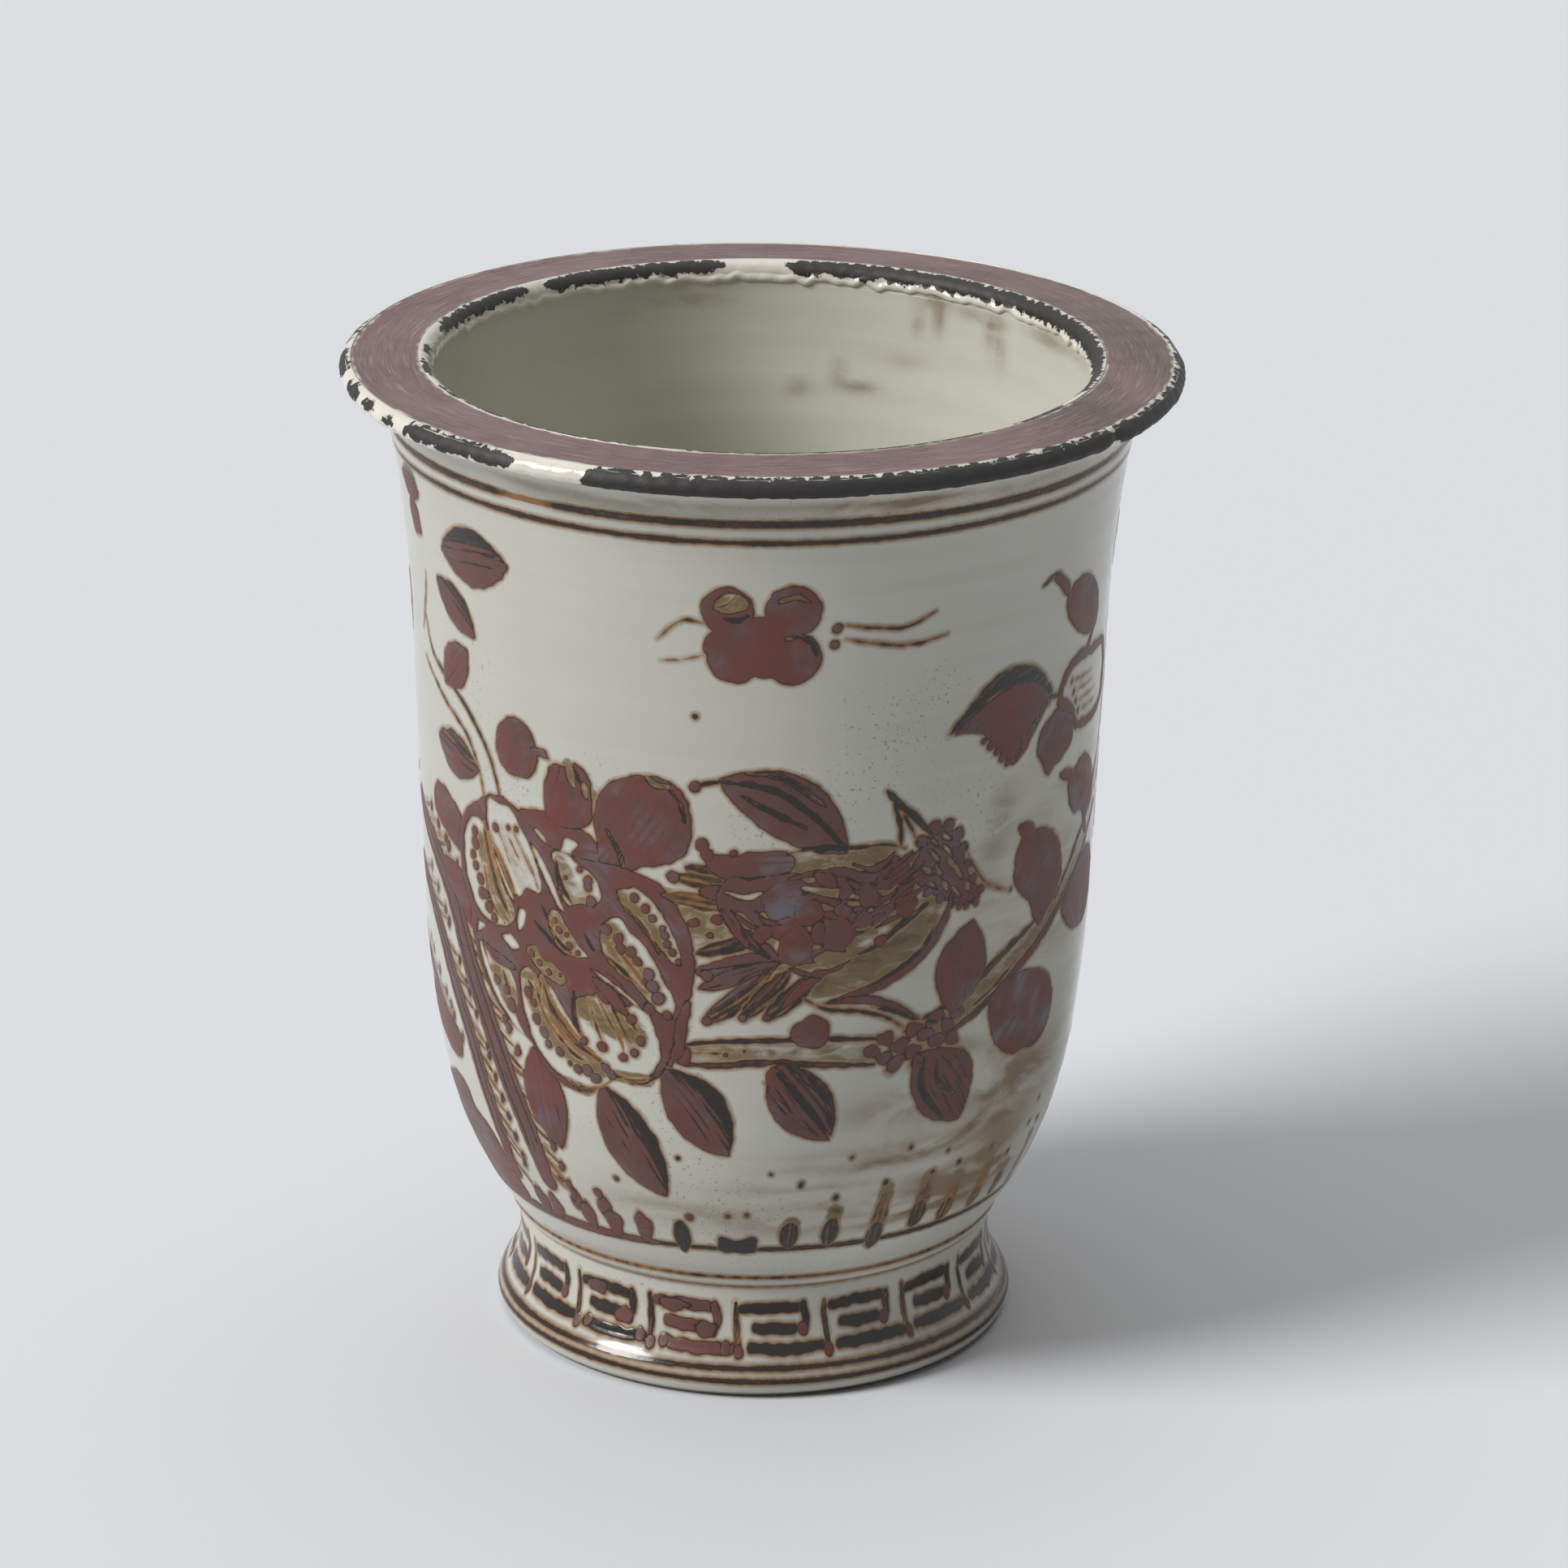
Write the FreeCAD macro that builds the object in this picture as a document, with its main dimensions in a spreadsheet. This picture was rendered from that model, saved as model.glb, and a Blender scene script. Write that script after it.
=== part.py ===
"""A tall ceramic flower pot: a flared hollow foot, a round-bottomed thrown body and a broad flat rim.

The pot is thrown in clay sections that are luted together with slip, then coated with glaze.
Every section, seam and coat is an outline turned once about the Z axis. The pot stands on
Z = 0 with its axis on the origin. All sizes are millimetres.
"""

import FreeCAD, Part
import math
import os

import Sketcher

doc = FreeCAD.newDocument("FlowerPot")

# Driving sizes. A radius is the clay's, from the axis, and a thickness is measured level.
SIZES = {
    "total_height": 424,
    # Foot ring
    "foot_height": 47.6,
    "stand_radius": 105.6,
    "stand_width": 14.6,
    "stand_bevel_width": 1.8,
    "stand_bevel_height": 2.2,
    "foot_edge_overhang": 4,
    "foot_edge_height": 7.5,
    "foot_shoulder_inset": 2.4,
    "foot_shoulder_height": 13.2,
    "waist_inset": 0.8,
    "neck_radius": 100.4,
    "neck_thickness": 14.4,
    "foot_coil_leg": 7,
    # Roll of clay at the neck, where the body sits on the foot
    "neck_roll_width": 4,
    "neck_roll_height": 6.4,
    # Floor, bowl and wall
    "wall_radius": 143.1,
    "floor_thickness": 13.4,
    "floor_disc_radius": 72,
    "drain_radius": 12.5,
    "bowl_mid_thickness": 11.8,
    "bowl_top_thickness": 11,
    "wall_low_thickness": 10.5,
    "wall_high_thickness": 10,
    # Collar that flares into the rim
    "collar_drop": 36,
    "collar_length": 12,
    "collar_flare": 8.1,
    "collar_splay": 2,
    "collar_thickness": 15.2,
    # Rim flange
    "mouth_splay": 1.4,
    "mouth_round_width": 2.9,
    "mouth_round_drop": 3.7,
    "flange_overhang": 18.2,
    "flange_fall": 0.8,
    "flange_edge_thickness": 6.5,
    "flange_edge_splay": 0.2,
    "flange_land": 3.8,
    "flange_land_rise": 0.3,
    # Luted seams
    "slip_thickness": 0.8,
    "seam_bevel": 3,
    # Glaze coats
    "glaze_thickness": 0.8,
    "liner_drain_gap": 1.5,
    "rim_coat_thickness": 0.6,
    "roll_rise": 0.2,
    "rim_roll_thickness": 2.6,
    "rim_roll_overlap": 2.2,
    "rim_roll_mid_drop": 5.4,
    "mouth_roll_thickness": 1.3,
    "mouth_roll_overlap": 1.1,
    "mouth_roll_shoulder": 6,
    "mouth_roll_height": 10,
}

# Places on the body as shares of its height and of wall_radius, and the radius of each arc
# as a share of the straight way between its ends.
SHARES = {
    "waist_height_share": 0.715,
    "bowl_low_height_share": 0.0636,
    "bowl_low_radius_share": 0.795,
    "bowl_mid_height_share": 0.1322,
    "bowl_mid_radius_share": 0.8707,
    "bowl_top_height_share": 0.2444,
    "bowl_top_radius_share": 0.9364,
    "wall_low_height_share": 0.4567,
    "wall_low_radius_share": 0.9776,
    "wall_seam_share": 0.43,
    "wall_high_height_share": 0.7055,
    "rim_seam_share": 0.5,
    "foot_edge_arc_share": 1.35,
    "foot_flare_arc_share": 1.8,
    "foot_coil_arc_share": 0.91,
    "neck_roll_arc_share": 0.8,
    "bowl_heel_arc_share": 6,
    "bowl_low_arc_share": 8,
    "bowl_mid_arc_share": 5.8,
    "bowl_top_arc_share": 8.2,
    "well_arc_share": 0.955,
    "collar_arc_share": 6.8,
    "cove_arc_share": 0.82,
    "flange_edge_arc_share": 1.05,
    "mouth_arc_share": 0.77,
    "rim_roll_top_arc_share": 0.77,
    "rim_roll_low_arc_share": 0.7,
    "mouth_roll_arc_share": 0.663,
}

sheet = doc.addObject("Spreadsheet::Sheet", "Sizes")
for row, (name, number) in enumerate({**SIZES, **SHARES}.items(), start=1):
    sheet.set("A%d" % row, name)
    sheet.set("B%d" % row, str(number))
    sheet.setAlias("B%d" % row, name)
doc.recompute()


class Size:
    """A number that remembers the expression on the sheet's sizes that it comes from."""

    def __init__(self, number, text):
        self.number = number
        self.text = text

    def __add__(self, other):
        return Size(self.number + other.number, "(%s + %s)" % (self.text, other.text))

    def __sub__(self, other):
        return Size(self.number - other.number, "(%s - %s)" % (self.text, other.text))

    def __mul__(self, other):
        return Size(self.number * other.number, "(%s * %s)" % (self.text, other.text))

    def __truediv__(self, other):
        return Size(self.number / other.number, "(%s / %s)" % (self.text, other.text))


def size(name):
    """Reads one driving size or share from the sheet."""
    return Size(float(sheet.get(name)), "Sizes.%s" % name)


GROUND = Size(0.0, "0")
HALF = Size(0.5, "0.5")


def moved(point, out=GROUND, up=GROUND):
    """A point moved away from the axis and upwards."""
    return (point[0] + out, point[1] + up)


def at_height(low, high, height):
    """The point at a given height on the straight line from low to high."""
    share = (height - low[1]) / (high[1] - low[1])
    return (low[0] + (high[0] - low[0]) * share, height)


def at_radius(inner, outer, radius):
    """The point at a given radius on the straight line from inner to outer."""
    share = (radius - inner[0]) / (outer[0] - inner[0])
    return (radius, inner[1] + (outer[1] - inner[1]) * share)


def flat(point):
    """A point of the outline as a vector of the sketch's plane."""
    return FreeCAD.Vector(point[0].number, point[1].number, 0)


def arc_radius(start, end, share):
    """The radius of an arc: its share of the straight way from start to end."""
    out = end[0] - start[0]
    up = end[1] - start[1]
    chord = Size(math.hypot(out.number, up.number), "hypot(%s; %s)" % (out.text, up.text))
    return chord * share


def arc_between(start, end, radius, on_left):
    """The shorter arc between two points, with its centre to the left or right of the way there."""
    first = flat(start)
    last = flat(end)
    chord = last.sub(first)
    reach = math.sqrt(radius.number**2 - chord.Length**2 / 4)
    left = FreeCAD.Vector(-chord.y, chord.x, 0).normalize()
    centre = (first + last) * 0.5 + left * (reach if on_left else -reach)
    low, high = (first, last) if on_left else (last, first)
    circle = Part.Circle(centre, FreeCAD.Vector(0, 0, 1), radius.number)
    return Part.ArcOfCircle(
        circle,
        math.atan2(low.y - centre.y, low.x - centre.x),
        math.atan2(high.y - centre.y, high.x - centre.x),
    )


def hold(sketch, kind, places, value):
    """Adds a constraint whose value follows the sheet."""
    index = sketch.addConstraint(Sketcher.Constraint(kind, *places, value.number))
    sketch.setExpression("Constraints[%d]" % index, value.text)


def draw_outline(sketch, steps):
    """Draws a closed outline and ties its corners and arcs to the sheet.

    In the sketch, end 1 of a line or an arc is its start, and end 2 is where it finishes. The
    origin is end 1 of geometry -1, which is the level axis.

    A step is (point,) for a straight line to the next point, or (point, share, side) for an
    arc to it, where side says on which hand its centre lies on the way there.
    """
    ends = []
    for number, step in enumerate(steps):
        point = step[0]
        following = steps[(number + 1) % len(steps)][0]
        if len(step) == 1:
            line = Part.LineSegment(flat(point), flat(following))
            ends.append((sketch.addGeometry(line, False), 1, 2))
            continue
        radius = arc_radius(point, following, step[1])
        on_left = step[2] == "left"
        index = sketch.addGeometry(arc_between(point, following, radius, on_left), False)
        ends.append((index, 1, 2) if on_left else (index, 2, 1))
        hold(sketch, "Radius", (index,), radius)
    for number, (index, near, far) in enumerate(ends):
        next_index, next_near, _ = ends[(number + 1) % len(ends)]
        sketch.addConstraint(Sketcher.Constraint("Coincident", index, far, next_index, next_near))
        out, up = steps[number][0]
        hold(sketch, "DistanceX", (-1, 1, index, near), out)
        if up is GROUND:
            sketch.addConstraint(Sketcher.Constraint("PointOnObject", index, near, -1))
        else:
            hold(sketch, "DistanceY", (-1, 1, index, near), up)


def turned(name, steps):
    """Makes a body that is the outline turned once round the Z axis."""
    body = doc.addObject("PartDesign::Body", name)
    body.Label = name
    plane = [item for item in body.Origin.OriginFeatures if item.Role == "XZ_Plane"][0]
    sketch = body.newObject("Sketcher::SketchObject", name + "_outline")
    sketch.AttachmentSupport = [(plane, "")]
    sketch.MapMode = "FlatFace"
    draw_outline(sketch, steps)
    turn = body.newObject("PartDesign::Revolution", name + "_turn")
    turn.Profile = sketch
    turn.ReferenceAxis = (sketch, ["V_Axis"])
    body.Tip = turn
    body.Placement = FreeCAD.Placement()
    return body


# Thicknesses that several pieces share
glaze = size("glaze_thickness")
half_slip = size("slip_thickness") * HALF
half_bevel = size("seam_bevel") * HALF

# The foot's outside, from the ground up
stand = (size("stand_radius"), GROUND)
stand_bevel = (stand[0] + size("stand_bevel_width"), size("stand_bevel_height"))
foot_edge = (stand[0] + size("foot_edge_overhang"), size("foot_edge_height"))
foot_shoulder = (foot_edge[0] - size("foot_shoulder_inset"), size("foot_shoulder_height"))
foot_top = (size("neck_radius"), size("foot_height"))
waist = (foot_top[0] - size("waist_inset"), foot_top[1] * size("waist_height_share"))

# The foot's inside, and the underside of the body on its slip
hollow = (stand[0] - size("stand_width"), GROUND)
hollow_top = (foot_top[0] - size("neck_thickness"), foot_top[1])
body_base = foot_top[1] + size("slip_thickness")

# The body's outside, from the neck up to the collar
collar_height = size("total_height") - size("collar_drop")
body_span = collar_height - body_base
wall_radius = size("wall_radius")


def body_place(name):
    """A place on the outside of the body, from its two shares."""
    height = body_base + body_span * size(name + "_height_share")
    return (wall_radius * size(name + "_radius_share"), height)


neck_roll_low = (foot_top[0], body_base)
heel = (foot_top[0] + size("neck_roll_width"), body_base + size("neck_roll_height"))
bowl_low = body_place("bowl_low")
bowl_mid = body_place("bowl_mid")
bowl_top = body_place("bowl_top")
lower_wall_base = moved(bowl_top, up=size("slip_thickness"))
wall_low = body_place("wall_low")
wall_high = (wall_radius, body_base + body_span * size("wall_high_height_share"))
collar_low = (wall_radius + size("collar_flare"), collar_height)
collar_top = moved(collar_low, size("collar_splay"), size("collar_length"))

# The body's inside, from the floor up
floor_top = body_base + size("floor_thickness")
well = (size("floor_disc_radius"), floor_top)
bowl_mid_in = (bowl_mid[0] - size("bowl_mid_thickness"), bowl_mid[1])
bowl_top_in = (bowl_top[0] - size("bowl_top_thickness"), bowl_top[1])
lower_wall_base_in = moved(bowl_top_in, up=size("slip_thickness"))
wall_low_in = (wall_low[0] - size("wall_low_thickness"), wall_low[1])
wall_high_in = (wall_high[0] - size("wall_high_thickness"), wall_high[1])
collar_low_in = (collar_low[0] - size("collar_thickness"), collar_low[1])

# The rim flange
flange_face = size("total_height") - size("roll_rise") - size("rim_coat_thickness")
mouth_low = (collar_low_in[0] + size("mouth_splay"), flange_face - size("mouth_round_drop"))
mouth_top = (mouth_low[0] + size("mouth_round_width"), flange_face)
flange_top = (collar_top[0] + size("flange_overhang"), flange_face - size("flange_fall"))
flange_low = (flange_top[0] + size("flange_edge_splay"), flange_top[1] - size("flange_edge_thickness"))
cove_top = (flange_low[0] - size("flange_land"), flange_low[1] - size("flange_land_rise"))


def seam(outside, inside, height):
    """The corners of a bevelled slip seam: outer low, outer high, inner high and inner low."""
    return (
        at_height(*outside, height - half_bevel - half_slip),
        at_height(*outside, height - half_bevel + half_slip),
        at_height(*inside, height + half_bevel + half_slip),
        at_height(*inside, height + half_bevel - half_slip),
    )


wall_seam = seam(
    (wall_low, wall_high),
    (wall_low_in, wall_high_in),
    wall_low[1] + (wall_high[1] - wall_low[1]) * size("wall_seam_share"),
)
rim_seam = seam(
    (collar_low, collar_top),
    (collar_low_in, mouth_low),
    collar_height + size("collar_length") * size("rim_seam_share"),
)


def make_foot():
    """The flared foot ring, its slip seam and the clay coil pressed into the angle inside it."""
    turned(
        "foot_ring",
        [
            (stand,),
            (stand_bevel, size("foot_edge_arc_share"), "left"),
            (foot_edge, size("foot_edge_arc_share"), "left"),
            (foot_shoulder, size("foot_flare_arc_share"), "right"),
            (waist,),
            (foot_top,),
            (hollow_top,),
            (hollow,),
        ],
    )
    slip_in = (hollow_top[0], body_base)
    turned("foot_seam_slip", [(foot_top,), (neck_roll_low,), (slip_in,), (hollow_top,)])
    leg = size("foot_coil_leg")
    turned(
        "foot_seam_coil",
        [
            (at_height(hollow, hollow_top, body_base - leg),),
            (hollow_top,),
            (slip_in,),
            (moved(slip_in, GROUND - leg), size("foot_coil_arc_share"), "right"),
        ],
    )


def make_body():
    """The beaten floor disc with its drain hole, the thrown bowl, the two walls and their seams."""
    disc_edge = (well[0], body_base)
    drain = size("drain_radius")
    turned("floor_disc", [((drain, body_base),), (disc_edge,), (well,), ((drain, floor_top),)])
    out_low, out_high, in_high, in_low = wall_seam
    turned(
        "base_bowl",
        [
            (disc_edge,),
            (neck_roll_low, size("neck_roll_arc_share"), "left"),
            (heel, size("bowl_heel_arc_share"), "left"),
            (bowl_low, size("bowl_low_arc_share"), "left"),
            (bowl_mid, size("bowl_mid_arc_share"), "left"),
            (bowl_top,),
            (bowl_top_in, size("bowl_mid_arc_share"), "right"),
            (bowl_mid_in, size("well_arc_share"), "right"),
            (well,),
        ],
    )
    turned(
        "bowl_seam_slip",
        [(bowl_top,), (lower_wall_base,), (lower_wall_base_in,), (bowl_top_in,)],
    )
    turned(
        "lower_wall",
        [
            (lower_wall_base, size("bowl_top_arc_share"), "left"),
            (wall_low,),
            (out_low,),
            (in_low,),
            (wall_low_in, size("bowl_top_arc_share"), "right"),
            (lower_wall_base_in,),
        ],
    )
    turned("wall_seam_slip", [(out_low,), (out_high,), (in_high,), (in_low,)])
    rim_out_low, _, _, rim_in_low = rim_seam
    turned(
        "upper_wall",
        [
            (out_high,),
            (wall_high, size("collar_arc_share"), "right"),
            (collar_low,),
            (rim_out_low,),
            (rim_in_low,),
            (collar_low_in, size("collar_arc_share"), "left"),
            (wall_high_in,),
            (in_high,),
        ],
    )


def make_rim():
    """The broad flat flange with the cove under it, and the seam that holds it on the wall."""
    out_low, out_high, in_high, in_low = rim_seam
    turned("rim_seam_slip", [(out_low,), (out_high,), (in_high,), (in_low,)])
    turned(
        "rim_flange",
        [
            (out_high,),
            (collar_top, size("cove_arc_share"), "right"),
            (cove_top, size("flange_edge_arc_share"), "left"),
            (flange_low,),
            (flange_top,),
            (mouth_top, size("mouth_arc_share"), "left"),
            (mouth_low,),
            (in_high,),
        ],
    )


def coated(clay, coat_points):
    """An outline along the clay and back along the free face of its coat.

    clay lists the clay's steps in order, and coat_points has one point for each of them.
    """
    steps = list(clay)
    sides = {"left": "right", "right": "left"}
    for number in range(len(clay) - 1, -1, -1):
        point = coat_points[number]
        before = clay[number - 1] if number > 0 else ()
        if len(before) > 1:
            steps.append((point, before[1], sides[before[2]]))
        else:
            steps.append((point,))
    return steps


def make_outer_coats():
    """The clear glaze outside and under the rim, and the thick glaze roll round the rim's edge."""
    clay = [
        (stand_bevel, size("foot_edge_arc_share"), "left"),
        (foot_edge, size("foot_edge_arc_share"), "left"),
        (foot_shoulder, size("foot_flare_arc_share"), "right"),
        (waist,),
        (foot_top,),
        (neck_roll_low, size("neck_roll_arc_share"), "left"),
        (heel, size("bowl_heel_arc_share"), "left"),
        (bowl_low, size("bowl_low_arc_share"), "left"),
        (bowl_mid, size("bowl_mid_arc_share"), "left"),
        (bowl_top,),
        (lower_wall_base, size("bowl_top_arc_share"), "left"),
        (wall_low,),
        (wall_high, size("collar_arc_share"), "right"),
        (collar_low,),
        (collar_top, size("cove_arc_share"), "right"),
        (cove_top,),
    ]
    face = [moved(step[0], glaze) for step in clay[:-1]]
    face.append(moved(cove_top, GROUND, GROUND - glaze))
    turned("outer_glaze", coated(clay, face))
    roll_in = at_radius(mouth_top, flange_top, flange_top[0] - size("rim_roll_overlap"))
    roll_top = moved(roll_in, GROUND, size("rim_coat_thickness") + size("roll_rise"))
    roll_out = (flange_low[0] + size("rim_roll_thickness"), roll_top[1] - size("rim_roll_mid_drop"))
    roll_under = moved(cove_top, GROUND, GROUND - glaze)
    turned(
        "rim_edge_roll",
        [
            (cove_top, size("flange_edge_arc_share"), "left"),
            (flange_low,),
            (flange_top,),
            (roll_in,),
            (roll_top, size("rim_roll_top_arc_share"), "right"),
            (roll_out, size("rim_roll_low_arc_share"), "right"),
            (roll_under,),
        ],
    )


def make_rim_coat():
    """The brushed coat on the flat of the rim, between the two glaze rolls."""
    inner = at_radius(mouth_top, flange_top, mouth_top[0] + size("mouth_roll_overlap"))
    outer = at_radius(mouth_top, flange_top, flange_top[0] - size("rim_roll_overlap"))
    rise = size("rim_coat_thickness")
    turned(
        "rim_top_coat",
        [(inner,), (outer,), (moved(outer, GROUND, rise),), (moved(inner, GROUND, rise),)],
    )


def make_inner_coats():
    """The glaze roll that hangs from the mouth, and the liner glaze below it down to the drain."""
    hem_height = size("total_height") - size("mouth_roll_height")
    hem = at_height(collar_low_in, mouth_low, hem_height)
    roll_out = at_radius(mouth_top, flange_top, mouth_top[0] + size("mouth_roll_overlap"))
    shoulder_height = size("total_height") - size("mouth_roll_shoulder")
    inward = GROUND - size("mouth_roll_thickness")
    turned(
        "mouth_roll",
        [
            (hem,),
            (mouth_low, size("mouth_arc_share"), "right"),
            (mouth_top,),
            (roll_out,),
            ((roll_out[0], size("total_height")), size("mouth_roll_arc_share"), "left"),
            ((mouth_low[0] + inward, shoulder_height),),
            (moved(hem, inward),),
        ],
    )
    clay = [
        ((size("drain_radius") + size("liner_drain_gap"), floor_top),),
        (well, size("well_arc_share"), "left"),
        (bowl_mid_in, size("bowl_mid_arc_share"), "left"),
        (bowl_top_in,),
        (lower_wall_base_in, size("bowl_top_arc_share"), "left"),
        (wall_low_in,),
        (wall_high_in, size("collar_arc_share"), "right"),
        (collar_low_in,),
        (hem,),
    ]
    face = [moved(step[0], GROUND, glaze) for step in clay[:2]]
    face += [moved(step[0], GROUND - glaze) for step in clay[2:]]
    turned("liner_glaze", coated(clay, face))


def check_model():
    """Stops with a message if anything in the document failed or a piece isn't one valid solid."""
    for item in doc.Objects:
        if "Invalid" in item.State or "Error" in item.State:
            raise RuntimeError("%s did not build: %s" % (item.Name, item.State))
    for body in doc.findObjects("PartDesign::Body"):
        shape = body.Shape
        if shape.isNull() or not shape.isValid() or len(shape.Solids) != 1:
            raise RuntimeError("%s is not one valid solid" % body.Label)


def write_parts():
    """Writes each piece to a file under its own name."""
    os.makedirs("parts", exist_ok=True)
    for body in doc.findObjects("PartDesign::Body"):
        body.Shape.exportStep("parts/%s.step" % body.Label)
        box = body.Shape.optimalBoundingBox()
        print("%s: radius %.2f, height %.2f to %.2f, %.1f cm3" % (
            body.Label, box.XMax, box.ZMin, box.ZMax, body.Shape.Volume / 1000))


make_foot()
make_body()
make_rim()
make_outer_coats()
make_rim_coat()
make_inner_coats()
doc.recompute()
check_model()
write_parts()
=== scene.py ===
"""A flower pot's glazes, white rolls and iron-slip painting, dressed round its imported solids."""

import math

import bpy
import numpy as np
from bpy.props import FloatProperty, FloatVectorProperty, IntProperty, PointerProperty
from mathutils import Euler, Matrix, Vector


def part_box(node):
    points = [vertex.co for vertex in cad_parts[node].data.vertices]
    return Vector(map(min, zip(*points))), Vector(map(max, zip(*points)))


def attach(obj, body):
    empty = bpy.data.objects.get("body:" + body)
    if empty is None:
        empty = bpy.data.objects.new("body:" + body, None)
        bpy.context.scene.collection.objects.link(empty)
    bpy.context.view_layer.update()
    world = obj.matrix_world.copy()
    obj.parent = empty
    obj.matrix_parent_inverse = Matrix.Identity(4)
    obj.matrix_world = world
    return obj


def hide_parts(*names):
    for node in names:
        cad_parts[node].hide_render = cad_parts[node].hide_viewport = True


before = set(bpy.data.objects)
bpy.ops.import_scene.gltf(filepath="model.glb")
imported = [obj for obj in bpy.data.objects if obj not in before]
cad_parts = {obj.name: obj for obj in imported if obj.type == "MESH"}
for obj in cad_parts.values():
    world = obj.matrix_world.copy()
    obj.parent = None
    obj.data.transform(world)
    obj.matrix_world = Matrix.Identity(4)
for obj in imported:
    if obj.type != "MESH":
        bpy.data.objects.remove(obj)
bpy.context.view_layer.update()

bl_info = {
    "name": "Painted Flower Pot",
    "version": (1, 0, 0),
    "blender": (4, 5, 0),
    "location": "View3D > Sidebar > Flower Pot",
    "description": "Builds the glazes, rolls and brush painting of a stoneware flower pot",
    "category": "Object",
}

MM = 0.001
RIM_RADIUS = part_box("rim_edge_roll")[1].x / MM
FACE_RADIUS = 145.0
TURN = 2 * math.pi * FACE_RADIUS

# Outlines, radius and height in mm; an arc's start also has its radius as a share of its chord, and its side

OUTSIDE = [
    (107.4, 2.2, 1.35, 1),
    (109.6, 7.5, 1.35, 1),
    (107.2, 13.2, 1.8, -1),
    (99.6, 34.03),
    (100.4, 47.6),
    (100.4, 48.4, 0.8, 1),
    (104.4, 54.8, 6, 1),
    (113.76, 70.0, 8, 1),
    (124.6, 93.3, 5.8, 1),
    (134.0, 131.4),
    (134.0, 132.2, 8.2, 1),
    (139.9, 203.5),
    (143.1, 288.0, 6.8, -1),
    (151.2, 388.0),
    (153.2, 400.0, 0.82, -1),
    (167.8, 415.6),
]
INSIDE = [
    (137.16, 414.0),
    (137.15, 413.7),
    (136.0, 388.0, 6.8, 1),
    (133.1, 288.0),
    (129.4, 203.5, 8.2, -1),
    (123.0, 132.2),
    (123.0, 131.4, 5.8, -1),
    (112.8, 93.3, 0.955, -1),
    (72.0, 61.8),
    (14.0, 61.8),
]
EDGE_ROLL = [(167.8, 414.8, 0.7, 1), (174.2, 417.86, 0.77, 1), (169.2, 423.26)]
EDGE_ROLL_BACK = [(169.2, 422.46), (171.4, 422.4), (171.6, 415.9, 1.05, -1), (167.8, 415.6)]
MOUTH_ROLL = [(141.4, 424.0, 0.663, 1), (136.1, 418.0), (135.86, 414.0), (135.98, 413.6)]
MOUTH_ROLL_BACK = [
    (136.9, 413.6), (137.16, 414.0), (137.4, 419.5, 0.77, -1), (140.3, 423.2), (141.4, 423.17),
]
POT_TOP = 424.0
RIM_OUTER, RIM_INNER = 169.2, 141.4
RIM_CLAY_OUTER, RIM_CLAY_INNER = (171.4, 422.4), (140.3, 423.2)


# Settings


def colour_setting(name, words, default):
    """A colour of the pot that a user may change."""
    return FloatVectorProperty(
        name=name, description=words, subtype="COLOR_GAMMA", size=3, min=0, max=1, default=default
    )


def length_setting(name, words, default, low, high):
    """A length of the pot in metres that a user may change."""
    return FloatProperty(
        name=name, description=words, subtype="DISTANCE", unit="LENGTH", default=default, min=low, max=high
    )


class PotSizes(bpy.types.PropertyGroup):
    """Sizes of the pot's glazes and paint."""

    glaze: length_setting("Glaze", "Thickness of the pale glaze on the clay", 0.0008, 0.0003, 0.003)
    slip: length_setting("Slip", "How far a full brush load stands off the glaze", 0.0003, 0.0, 0.001)
    cell: length_setting("Painting cell", "Size of a cell of the painted skins", 0.0007, 0.0005, 0.003)
    ripple: length_setting("Throwing ripple", "Depth of the thrower's finger rings", 0.00005, 0.0, 0.001)
    drip: length_setting("Drip", "How far the hem of the mouth glaze waves up and down", 0.0013, 0.0, 0.01)
    columns: IntProperty(name="Columns", description="Faces round a glaze skin", default=288, min=48, max=480)


class PotColours(bpy.types.PropertyGroup):
    """Colours of the pot's clay, glazes and slips."""

    glaze: colour_setting("Glaze", "Pale glaze of the wall", (0.765, 0.757, 0.715))
    glaze_cool: colour_setting("Cool glaze", "Glaze where it pools and turns grey", (0.735, 0.732, 0.697))
    liner: colour_setting("Liner", "Glaze of the planting space", (0.83, 0.825, 0.775))
    stain: colour_setting("Stain", "Brown water and soil stains", (0.49, 0.405, 0.29))
    amber: colour_setting("Amber", "Thinnest iron slip", (0.55, 0.385, 0.18))
    black: colour_setting("Black", "Iron slip of middle thickness", (0.12, 0.085, 0.065))
    rust: colour_setting("Rust", "Thick iron slip", (0.405, 0.20, 0.165))
    rim: colour_setting("Rim", "Brushed slip on the flat rim", (0.47, 0.355, 0.36))
    roll: colour_setting("Roll", "Thick white glaze of the two rolls", (0.88, 0.86, 0.81))
    flake: colour_setting("Flake", "Dark paint left on the rolls", (0.125, 0.11, 0.095))
    clay: colour_setting("Clay", "Bare fired clay", (0.47, 0.42, 0.37))
    seam: colour_setting("Seam slip", "Slip that joins the thrown pieces", (0.42, 0.36, 0.30))
    floor: colour_setting("Floor", "Pale floor round the pot", (0.90, 0.91, 0.925))


def sizes():
    """The pot's sizes in millimetres, and its count of columns."""
    held = bpy.context.scene.pot_sizes
    names = ("glaze", "slip", "cell", "ripple", "drip")
    return {name: getattr(held, name) / MM for name in names} | {"columns": held.columns}


def linear(name):
    """One of the pot's colours as scene-linear RGBA."""
    tone = np.array(getattr(bpy.context.scene.pot_colours, name)[:])
    low, high = tone / 12.92, ((tone + 0.055) / 1.055) ** 2.4
    return (*np.where(tone <= 0.04045, low, high), 1.0)


# Outlines and skins


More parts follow.
